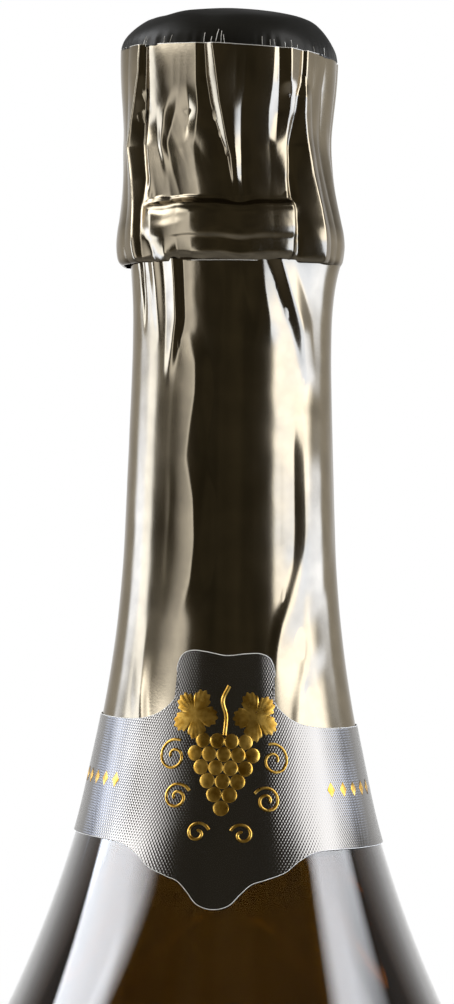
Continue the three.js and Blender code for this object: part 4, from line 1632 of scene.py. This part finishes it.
    def sleeve(self) -> Surface:
        """Makes the sleeve: it follows the neck, stands off it under the hood and carries the pleats."""
        azimuth = self.azimuths()[None, :]
        share = 1 - np.linspace(1, 0, self.sleeve_rows)[:, None] ** self.top_crowding
        z = self.sleeve_bottom + (self.sleeve_top - self.sleeve_bottom) * share + 0 * azimuth
        below = self.sleeve_top - z
        turn = np.radians(azimuth)
        stand = self.stand_off + self.stand_off_right * np.sin(turn)
        stand = stand * (1 - self.stand_off_front * np.maximum(np.cos(turn), 0))
        base = self.glass.outer(z) + self.sleeve_fit + stand * np.exp(-below / self.stand_off_height)
        folds = sum(crease.field(azimuth, z, self.sleeve_radius) for crease in SLEEVE_CREASES)
        folds = folds + self.sleeve_back_share * self.back_folds.field(azimuth, z, *self.sleeve_back)
        gathered = bell(below, 0.0, self.gathered_height) * (1 - ease(azimuth, *self.gathered_end))
        ruffled = self.least_ruffle + self.gathered_depth * gathered
        folds = folds + ruffled * self.crumple.field(azimuth, z, self.sleeve_seed)
        held = self.label_least + (1 - self.label_least) * ease(z, *self.label_hold)
        return self.round_wall(azimuth, z, base + blur(folds, *self.sleeve_blur) * held, np.zeros_like(z))

    def build(self, foil: Material, black: Material, bare_and_highlight: Material) -> None:
        """Makes hood, dome, crimps and sleeve."""
        hood, dome, sleeve = self.hood(), self.top_disc(), self.sleeve()
        # the hood's second finish covers the bare cut edge at the seam and the painted highlight at the hem
        make_piece("foil_hood_folds", hood, [foil, bare_and_highlight], Body.FOIL, ["foil_hood"], 80.0)
        make_piece("foil_top_dome", dome, [black], Body.FOIL, ["foil_top_disc"], 60.0)
        make_piece("foil_crimps", self.crimps(), [bare_and_highlight], Body.FOIL)
        make_piece("foil_sleeve_folds", sleeve, [foil], Body.BOTTLE, ["foil_neck_sleeve"], 80.0)


# Labels


def low_domes(centres: Sequence[Pair], outline: np.ndarray, height: float) -> Surface:
    """Makes closed low domes with the same outline round several centres.

    Args:
        centres: Along and up of each dome.
        outline: Along and up of the outline's points round the centre.
        height: Height of the domes.

    Returns:
        All domes, in label coordinates: along, up and out. Their undersides are sunk in the paper.
    """
    rings, fall, sunk = np.array([0.0, 0.3, 0.55, 0.78, 0.92, 1.0]), 0.96, 0.05
    share = np.concatenate([rings, [1.0, 0.0]])[:, None, None]
    rise = np.concatenate([height * np.sqrt(1 - fall * rings**2), [-sunk, -sunk]])[:, None, None]
    flat = share * outline[None]
    one = np.concatenate([flat, np.broadcast_to(rise, (*flat.shape[:2], 1))], axis=2)
    points = one[None] + lifted(np.array(centres), 0.0)[:, None, None]
    faces = grid_faces(len(share), len(outline), False, True)
    shift = np.arange(len(centres))[:, None, None] * one.shape[0] * one.shape[1]
    return Surface(points.reshape(-1, 3), (faces[None] + shift).reshape(-1, 4))


@dataclass(frozen=True)
class Tendril:
    """Spiral of a vine, whose radius shrinks.

    Attributes:
        start: Along and up of its outer end on the right side.
        turns: How often it goes round.
        size: Radius at its outer end.
        lift: Angle of its outer end in degrees.
        shrink: Share of the radius that it loses.
    """

    start: Pair
    turns: float
    size: float
    lift: float
    shrink: float = 0.8

    def path(self, side: int) -> np.ndarray:
        """Returns points along the spiral, mirrored for side -1."""
        share = np.linspace(0, 1, 90)
        lift = math.radians(self.lift)
        centre = np.array(self.start) - self.size * circle(np.array(lift))
        radius = self.size * (1 - self.shrink * share)
        spiral = centre + radius[:, None] * circle(lift - 2 * np.pi * self.turns * share)
        return spiral * np.array([side, 1])


@dataclass(frozen=True)
class Relief:
    """Gold relief of a bunch of grapes under two vine leaves, with tendrils.

    Attributes:
        middle: Centre of the design on the label, along and up.
        scale: Size of the design; 1 is 19 mm wide.
    """

    middle: Pair
    scale: float
    berry_rows: tuple[int, ...] = (4, 5, 4, 3, 2, 1)
    berry_radius: float = 1.02
    berry_pitch: float = 2.05
    berry_rise: float = 0.208
    first_row: float = 5.2
    row_pitch: float = 1.78
    leaf_place: Pair = (4.6, 8.6)
    leaf_turn: float = 48.0
    leaf_size: float = 3.4
    leaf_form: Triple = (0.62, 0.38, 0.05)
    leaf_rise: float = 0.144
    stem_line: Outline = ((0.0, 6.0), (0.1, 8.5), (-0.5, 10.6), (0.4, 12.6))
    stem_wire: float = 0.34
    tendrils: tuple[Tendril, ...] = (
        Tendril((6.4, 5.0), 1.35, 2.3, 110),
        Tendril((4.4, -1.6), 1.5, 1.9, 150),
        Tendril((1.4, -6.6), 1.2, 1.5, 160),
    )
    tendril_wire: float = 0.2
    wire_lift: float = 0.02

    def wire(self, path: np.ndarray, radius: float) -> Surface:
        """Makes a half-sunk wire along a path on the label."""
        return tube(lifted(path, self.wire_lift), radius, UP, sides=8)

    def leaf(self, side: int) -> Surface:
        """Makes one vine leaf: a round outline whose radius swells into five pointed lobes."""
        angle = np.linspace(0, 2 * np.pi, 120, endpoint=False)
        base, lobe, tooth = self.leaf_form
        lobes = base + lobe * np.abs(np.cos(2.5 * angle)) ** 0.7 + tooth * np.cos(25 * angle)
        turned = angle + math.radians(90 - side * self.leaf_turn)
        outline = self.leaf_size * lobes[:, None] * circle(turned)
        along, up = self.leaf_place
        return low_domes([(side * along, up)], outline, self.leaf_rise)

    def berries(self) -> Surface:
        """Makes the berries in rows, each row centred."""
        centres = [
            ((place - (count - 1) / 2) * self.berry_pitch, self.first_row - row * self.row_pitch)
            for row, count in enumerate(self.berry_rows)
            for place in range(count)
        ]
        outline = self.berry_radius * circle(np.linspace(0, 2 * np.pi, 20, endpoint=False))
        return low_domes(centres, outline, self.berry_rise)

    def design(self) -> Surface:
        """Gathers berries, stem, leaves and tendrils and moves them to their place on the label."""
        parts = [self.berries(), self.wire(spline(self.stem_line, 30), self.stem_wire)]
        for side in (-1, 1):
            parts.append(self.leaf(side))
            parts += [self.wire(tendril.path(side), self.tendril_wire) for tendril in self.tendrils]
        both = gather(parts)
        both.points = both.points * np.array([self.scale, self.scale, 1.0]) + np.array([*self.middle, 0.0])
        return both


@dataclass(frozen=True)
class CollarLabel:
    """Collar label: a band round the neck with a crest above and a pendant below its front.

    Its upper and lower edge are given from the middle to the right end, by lengths along and up.
    """

    # fmt: off
    glass: GlassShape
    middle_height: float = 201.4
    foil_offset: float = 0.48
    glass_offset: float = 0.15
    foil_end: Pair = (192.0, 206.0)
    thickness: float = 0.2
    cut_edge: float = 0.1
    turn: float = math.radians(-3.0)
    tilt: float = math.radians(2.0)
    upper: Outline = (
        (0.0, 19.6), (3.6, 20.0), (6.3, 20.1), (8.1, 19.4), (8.9, 17.7), (8.7, 16.0), (8.3, 14.4),
        (8.8, 12.8), (10.0, 11.5), (12.0, 10.2), (14.8, 9.4), (19.0, 9.05), (26.0, 9.0),
        (44.0, 9.0), (63.0, 9.0),
    )
    lower: Outline = (
        (0.0, -17.9), (1.9, -17.3), (3.4, -15.5), (4.8, -14.1), (6.5, -13.45), (9.3, -12.3), (11.4, -10.7),
        (14.1, -9.4), (18.0, -9.05), (26.0, -9.0), (44.0, -9.0), (63.0, -9.0),
    )
    columns: int = 520
    rows: int = 36
    cord_points: int = 700
    edge_points: int = 2400
    crowding: float = 0.45
    bunch: Relief = Relief((0.3, 1.0), 1.12)
    mark_count: int = 5
    mark_start: float = 18.5
    mark_pitch: float = 2.9
    mark_up: float = -0.2
    mark_size: Pair = (1.7, 2.3)
    mark_rise: float = 0.12
    # fmt: on

    @property
    def radius(self) -> float:
        """Radius at the band's middle, which turns lengths along the label into angles."""
        return float(self.glass.outer(np.array(self.middle_height))) + self.foil_offset

    def drape(self, flat: np.ndarray) -> np.ndarray:
        """Lays label coordinates on the neck: a tilted band that steps from the foil down to the glass.

        Args:
            flat: Along, up and out in millimetres, in the last axis.

        Returns:
            Points in space.
        """
        along, up, out = flat[..., 0], flat[..., 1], flat[..., 2]
        angle, slope = along / self.radius, math.tan(self.tilt)
        z = self.middle_height + up - slope * self.radius * np.sin(angle)
        azimuth = self.turn + angle + slope * up / self.radius
        offset = self.glass_offset + (self.foil_offset - self.glass_offset) * ease(z, *self.foil_end)
        return polar(self.glass.outer(z) + offset + out, azimuth, z)

    def edge(self, half: Outline, count: int) -> np.ndarray:
        """Draws an edge of the label from its left end to its right end, mirrored about its middle.

        Args:
            half: Its right half.
            count: Number of points, which crowd towards the middle.

        Returns:
            Along and up of the points.
        """
        right = np.array(half)
        left = right[:0:-1] * np.array([-1.0, 1.0])
        curve = spline(np.vstack([left, right]), self.edge_points)
        length = travelled(curve)
        even = np.linspace(-1, 1, count)
        wanted = (1 - self.crowding) * even + self.crowding * even**3
        near = length / length[-1] * 2 - 1
        return np.stack([np.interp(wanted, near, column) for column in curve.T], axis=-1)

    def sheet(self) -> Surface:
        """Makes the label as straight columns between its lower and its upper edge, laid on the neck."""
        low, high = (self.edge(half, self.columns)[None] for half in (self.lower, self.upper))
        share = np.linspace(0, 1, self.rows)[:, None, None]
        return laid(self.drape, low + (high - low) * share, self.thickness)

    def cut_edges(self) -> Surface:
        """Makes the pale cut edges above and below as thin cords along the sheet's outline."""
        lines = (lifted(self.edge(half, self.cord_points), 0.0) for half in (self.lower, self.upper))
        cords = [tube(line, self.cut_edge, UP, sides=8) for line in lines]
        return stamped(self.drape, cords, self.thickness / 2)

    def marks(self) -> Surface:
        """Makes a row of small raised diamonds at each side."""
        steps = [self.mark_start + self.mark_pitch * number for number in range(self.mark_count)]
        centres = [(side * step, self.mark_up) for side in (-1, 1) for step in steps]
        corners = np.array([(1.0, 0.0), (0.0, 1.0), (-1.0, 0.0), (0.0, -1.0)])
        return low_domes(centres, corners * np.array(self.mark_size) / 2, self.mark_rise)

    def build(self, paper: Material, paper_edge: Material, gold: Material) -> None:
        """Makes the sheet, its cut edges and its gold relief."""
        finishes = [paper, paper_edge]
        relief = stamped(self.drape, [self.bunch.design(), self.marks()], self.thickness)
        make_piece("collar_sheet", self.sheet(), finishes, Body.BOTTLE, ["neck_label"], 40.0)
        make_piece("collar_cut_edge", self.cut_edges(), [paper_edge], Body.BOTTLE)
        make_piece("collar_gold", relief, [gold], Body.BOTTLE)


@dataclass(frozen=True)
class BodyLabel:
    """Label on the bottle's body, with round corners, a double gold line and a bunch of grapes.

    Attributes:
        name: Start of its pieces' names.
        node: CAD node that its sheet stands for.
        glass: Outline of the glass.
        width: Length along the glass.
        height: Length up the glass.
        azimuth: Azimuth of its middle.
        bunch: Gold relief on it.
        middle_height: Height of its middle.
        corner: Radius of its corners.
        offset: Clearance from the glass.
        thickness: Thickness of the paper.
        lines: Inset and wire radius of each gold line.
        columns: Points along the sheet.
        rows: Points up the sheet.
        line_points: Points of a gold line.
        corner_points: Points that draw one of its corners.
    """

    name: str
    node: str
    glass: GlassShape
    width: float
    height: float
    azimuth: float
    bunch: Relief
    middle_height: float = 72.0
    corner: float = 5.0
    offset: float = 0.3
    thickness: float = 0.2
    lines: Outline = ((2.6, 0.22), (3.6, 0.1))
    columns: int = 160
    rows: int = 40
    line_points: int = 360
    corner_points: int = 10

    def drape(self, flat: np.ndarray) -> np.ndarray:
        """Lays label coordinates on the body: lengths along become angles at the glass."""
        azimuth = math.radians(self.azimuth) + flat[..., 0] / self.glass.body_radius
        radius = self.glass.body_radius + self.offset + flat[..., 2]
        return polar(radius, azimuth, self.middle_height + flat[..., 1])

    def sheet(self) -> Surface:
        """Makes the label: each column is as high as the round corners leave it."""
        along = self.width / 2 * np.sin(np.pi / 2 * np.linspace(-1, 1, self.columns))
        into = np.maximum(np.abs(along) - (self.width / 2 - self.corner), 0)
        half = self.height / 2 - self.corner + np.sqrt(np.maximum(self.corner**2 - into**2, 0.0))
        up = np.linspace(-1, 1, self.rows)[:, None] * half[None, :]
        return laid(self.drape, np.stack([np.broadcast_to(along, up.shape), up], axis=-1), self.thickness)

    def line(self, inset: float, wire: float) -> Surface:
        """Makes a closed gold line at an inset from the label's edge, as a half-sunk wire."""
        radius = max(self.corner - inset / 2, 1.0)
        centre = np.array([self.width, self.height]) / 2 - inset - radius
        quarter = np.linspace(0, np.pi / 2, self.corner_points)
        signs = np.array([(1, 1), (-1, 1), (-1, -1), (1, -1)])
        turns = [sign * centre + radius * circle(quarter + k * np.pi / 2) for k, sign in enumerate(signs)]
        corners = np.vstack([*turns, turns[0][:1]])
        length = travelled(corners)
        wanted = np.linspace(0, length[-1], self.line_points, endpoint=False)
        flat = np.stack([np.interp(wanted, length, column) for column in corners.T], axis=-1)
        return tube(lifted(flat, 0.0), wire, UP, True, 8)

    def build(self, paper: Material, paper_edge: Material, gold: Material) -> None:
        """Makes the sheet and its gold."""
        finishes = [paper, paper_edge]
        lines = [self.line(inset, wire) for inset, wire in self.lines]
        relief = stamped(self.drape, [*lines, self.bunch.design()], self.thickness)
        make_piece(f"{self.name}_sheet", self.sheet(), finishes, Body.BOTTLE, [self.node], 40.0)
        make_piece(f"{self.name}_gold", relief, [gold], Body.BOTTLE)


# Studio


COOL: Colour = (0.83, 1.0, 1.42)
COOLISH: Colour = (0.9, 1.0, 1.2)


@dataclass(frozen=True)
class Softbox:
    """Soft lamp beside the bottle that stands on an azimuth and faces the axis.

    Attributes:
        name: Name of the lamp.
        start: Azimuth of one edge, in degrees.
        end: Azimuth of the other edge.
        low: Height of its lower edge in metres.
        high: Height of its upper edge.
        level: Brightness of its face; 1 is white.
        soft_sides: Degrees over which the two upright edges fade.
        soft_ends: Metres over which the lower and the upper edge fade.
        colour: Colour of its light.
        distance: Metres from the axis.
    """

    name: str
    start: float
    end: float
    low: float
    high: float
    level: float
    soft_sides: Pair
    soft_ends: Pair = (0.08, 0.08)
    colour: Colour = (0.95, 0.98, 1.04)
    distance: float = 0.9

    def fade(self, data: bpy.types.AreaLight) -> None:
        """Lets the lamp's face darken towards its four edges."""
        data.use_nodes = True
        pen = NodePen(data.node_tree)
        face = pen.split(pen.node("ShaderNodeNewGeometry").outputs["Parametric"])
        strength = 1.0
        spans = (self.end - self.start, self.high - self.low)
        for place, soft, span in zip(face, (self.soft_sides, self.soft_ends), spans):
            first = pen.remap(place, (0.0, soft[0] / span), (0.0, 1.0))
            second = pen.remap(place, (1.0 - soft[1] / span, 1.0), (1.0, 0.0))
            strength = pen.math("MULTIPLY", strength, pen.math("MULTIPLY", first, second))
        pen.plug(find_node(data.node_tree, "EMISSION"), Strength=strength)

    def build(self) -> None:
        """Makes the area lamp; its power gives the wanted level over its face."""
        data = bpy.data.lights.new(self.name, "AREA")
        data.shape = "RECTANGLE"
        data.size = 2 * self.distance * math.tan(math.radians(abs(self.end - self.start)) / 2)
        data.size_y = self.high - self.low
        data.energy = self.level * math.pi * data.size * data.size_y
        data.color = self.colour
        self.fade(data)
        lamp = show(self.name, data)
        azimuth = math.radians((self.start + self.end) / 2)
        lamp.location = polar(self.distance, azimuth, (self.low + self.high) / 2)
        lamp.rotation_euler = (math.pi / 2, 0, azimuth)
        lamp.visible_camera = False


@dataclass(frozen=True)
class Studio:
    """White studio: softboxes at both sides, a dark camera side, a pale floor and a level camera.

    The ranges steep, backward, ground and ceiling are parts of a direction between which the world changes.
    """

    softboxes: tuple[Softbox, ...] = (
        Softbox("low_left_back", -130, -108, -0.35, 0.34, 4.8, (6, 4), (0.1, 0.05), COOL),
        Softbox("low_left", -112, -93, -0.35, 0.45, 4.8, (4, 4), (0.1, 0.03), COOLISH),
        Softbox("low_left_front", -76, -40, -0.3, 0.45, 2.3, (24, 5), (0.1, 0.03)),
        Softbox("middle_left", -112, -50, 0.42, 0.72, 9.0, (4, 26), (0.03, 0.08)),
        Softbox("high_left", -135, -72, 0.64, 1.6, 8.0, (30, 26)),
        Softbox("low_right", 48, 125, 0.02, 0.34, 4.4, (3, 6), (0.05, 0.06), COOL),
        Softbox("middle_right", 46, 107, 0.28, 0.6, 6.5, (5, 10), (0.06, 0.14)),
        Softbox("high_right", 63, 105, 0.46, 1.6, 8.0, (10, 22), (0.14, 0.08)),
    )
    front_level: float = 0.08
    front_ground: float = 0.36
    front_colour: Colour = (1.0, 0.86, 0.55)
    front_clouds: Pair = (0.6, 1.4)
    cloud_scale: float = 4.0
    steep: Pair = (-0.6, -0.3)
    backward: Pair = (0.08, 0.35)
    ground: Pair = (-0.35, -0.05)
    ground_level: float = 0.25
    ceiling: Pair = (0.1, 0.28)
    ceiling_level: float = 0.15
    fill_level: float = 0.3
    floor_radius: float = 1150.0
    floor_height: float = -0.02
    floor_columns: int = 96
    floor_scale: float = 3.0
    floor_roughness: float = 0.9
    floor_gloss: float = 0.1
    floor_tones: tuple[Colour, Colour] = ((0.86, 0.86, 0.86), (0.9, 0.9, 0.9))
    camera_distance: float = 0.6
    camera_height: float = 0.2443
    camera_shift: float = -0.0005
    camera_roll: float = math.radians(-0.54)
    camera_reach: float = 20.0
    lens: float = 137.7

    def world(self) -> None:
        """Makes a world that is white for the camera and through glass, and dark in front in reflections."""
        world = bpy.data.worlds.new("studio_white")
        world.use_nodes = True
        bpy.context.scene.world = world
        pen = NodePen(world.node_tree)
        path = pen.node("ShaderNodeLightPath").outputs
        direction = pen.node("ShaderNodeTexCoord").outputs["Generated"]
        _, depth, height = pen.split(direction)
        clouds = pen.remap(pen.noise(direction, self.cloud_scale), (0.3, 0.7), self.front_clouds)
        steep = pen.remap(height, self.steep, (1.0, 0.0))
        facing = pen.remap(steep, (0.0, 1.0), (self.front_level, self.front_ground))
        front = pen.math("MULTIPLY", clouds, facing)
        around = pen.remap(depth, self.backward, (0.0, 1.0))
        ground = pen.remap(height, self.ground, (self.ground_level, 1.0))
        ceiling = pen.remap(height, self.ceiling, (1.0, self.ceiling_level))
        seen = pen.remap(around, (0.0, 1.0), (front, pen.math("MULTIPLY", ground, ceiling)))
        lit = pen.math("MULTIPLY", path["Is Glossy Ray"], pen.math("SUBTRACT", seen, self.fill_level))
        level = pen.math("ADD", lit, self.fill_level)
        plain = pen.math("MAXIMUM", path["Is Camera Ray"], path["Is Transmission Ray"])
        white = pen.math("MAXIMUM", steep, pen.math("MAXIMUM", plain, around))
        pen.plug(
            find_node(world.node_tree, "BACKGROUND"),
            Strength=pen.math("MAXIMUM", level, plain),
            Color=pen.mix(white, self.front_colour, (1.0, 1.0, 1.0)),
        )

    def floor(self) -> None:
        """Makes a pale round floor that keeps the bottle's shadow."""
        profile = np.array([(0.0, self.floor_height), (self.floor_radius, self.floor_height)])
        mesh = plain_mesh("studio_floor", lathe(profile, self.floor_columns))
        material, pen, shader = new_material("floor_pale")
        base = pen.mix(pen.noise(pen.place(), self.floor_scale), *self.floor_tones)
        pen.plug(shader, Base_Color=base, Roughness=self.floor_roughness)
        pen.plug(shader, Specular_IOR_Level=self.floor_gloss)
        mesh.materials.append(material)
        floor = show("studio_floor", mesh)
        floor.visible_glossy = False

    def camera(self) -> None:
        """Places the level camera in front of the neck."""
        data = bpy.data.cameras.new("camera")
        data.lens = self.lens
        data.clip_end = self.camera_reach
        camera = show("camera", data)
        camera.location = (self.camera_shift, -self.camera_distance, self.camera_height)
        camera.rotation_euler = (math.pi / 2, self.camera_roll, 0)
        bpy.context.scene.camera = camera

    def build(self) -> None:
        """Sets up world, lamps, floor and camera."""
        self.world()
        for softbox in self.softboxes:
            softbox.build()
        self.floor()
        self.camera()
        bpy.context.scene.view_settings.view_transform = "Standard"


def main() -> None:
    """Builds every piece in order, then the studio."""
    logging.basicConfig(level=logging.INFO, format="%(message)s")
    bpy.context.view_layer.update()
    groups = Groups(smudge_group(), lattice_group())
    shape = GlassShape()

    glass = ClearFinish("bottle_green", 1.52, (0.59, 0.49, 0.03), 950.0, 0.6, (0.0, 0.03))
    wine = ClearFinish("pale_wine", 1.34, (0.95, 0.8, 0.3), 12.0, 0.0, (0.0, 0.01))
    Vessel(shape).build(glass.material(groups), wine.material(groups))

    granules = CorkFinish("cork_granules", CorkKind.GRANULES, (0.56, 0.36, 0.18), (0.3, 0.16, 0.07))
    natural = CorkFinish("cork_natural", CorkKind.NATURAL, (0.6, 0.4, 0.21), (0.36, 0.2, 0.09))
    Stopper().build(granules.material(), natural.material())

    zinc = (0.55, 0.55, 0.56)
    wire = MetalFinish("zinc_wire", dimmed(zinc, 0.65), zinc, 500.0, 3.0, 0.2, 400.0)
    paint = FoilFinish("plaque_paint", (0.03, 0.029, 0.031), 0.6, (0.28, 0.4), 0.4, 0.004)
    WireCage().build(wire.material(groups), paint.material(groups))

    taupe = FoilFinish("foil_taupe", (0.19, 0.158, 0.108), 1.0, (0.13, 0.19), 0.4, 0.003)
    black = FoilFinish("foil_black", (0.009, 0.0085, 0.007), 0.0, (0.3, 0.42), 0.0, 0.006, 0.16)
    # paler finish: bare metal on the cut edge and the crimps, and a painted highlight along the hood's hem
    bare_and_highlight = FoilFinish("foil_bare_and_highlight", (0.42, 0.4, 0.36), 0.3, (0.3, 0.45), 0.0, 0.004)
    FoilCapsule(shape).build(taupe.material(groups), black.material(groups), bare_and_highlight.material(groups))

    gold = MetalFinish("stamped_gold", (0.36, 0.19, 0.025), (0.62, 0.38, 0.08), 900.0, 2.0, 0.15, 300.0)
    finishes = (PaperFinish().material(groups), PaperEdgeFinish().material(), gold.material(groups))
    large, small = (Relief((0.0, -1.0), scale) for scale in (1.9, 1.2))
    CollarLabel(shape).build(*finishes)
    BodyLabel("front", "front_label", shape, 92.0, 76.0, 0.0, large).build(*finishes)
    BodyLabel("back", "back_label", shape, 60.0, 56.0, 180.0, small).build(*finishes)

    Studio().build()


if __name__ == "__main__":
    main()
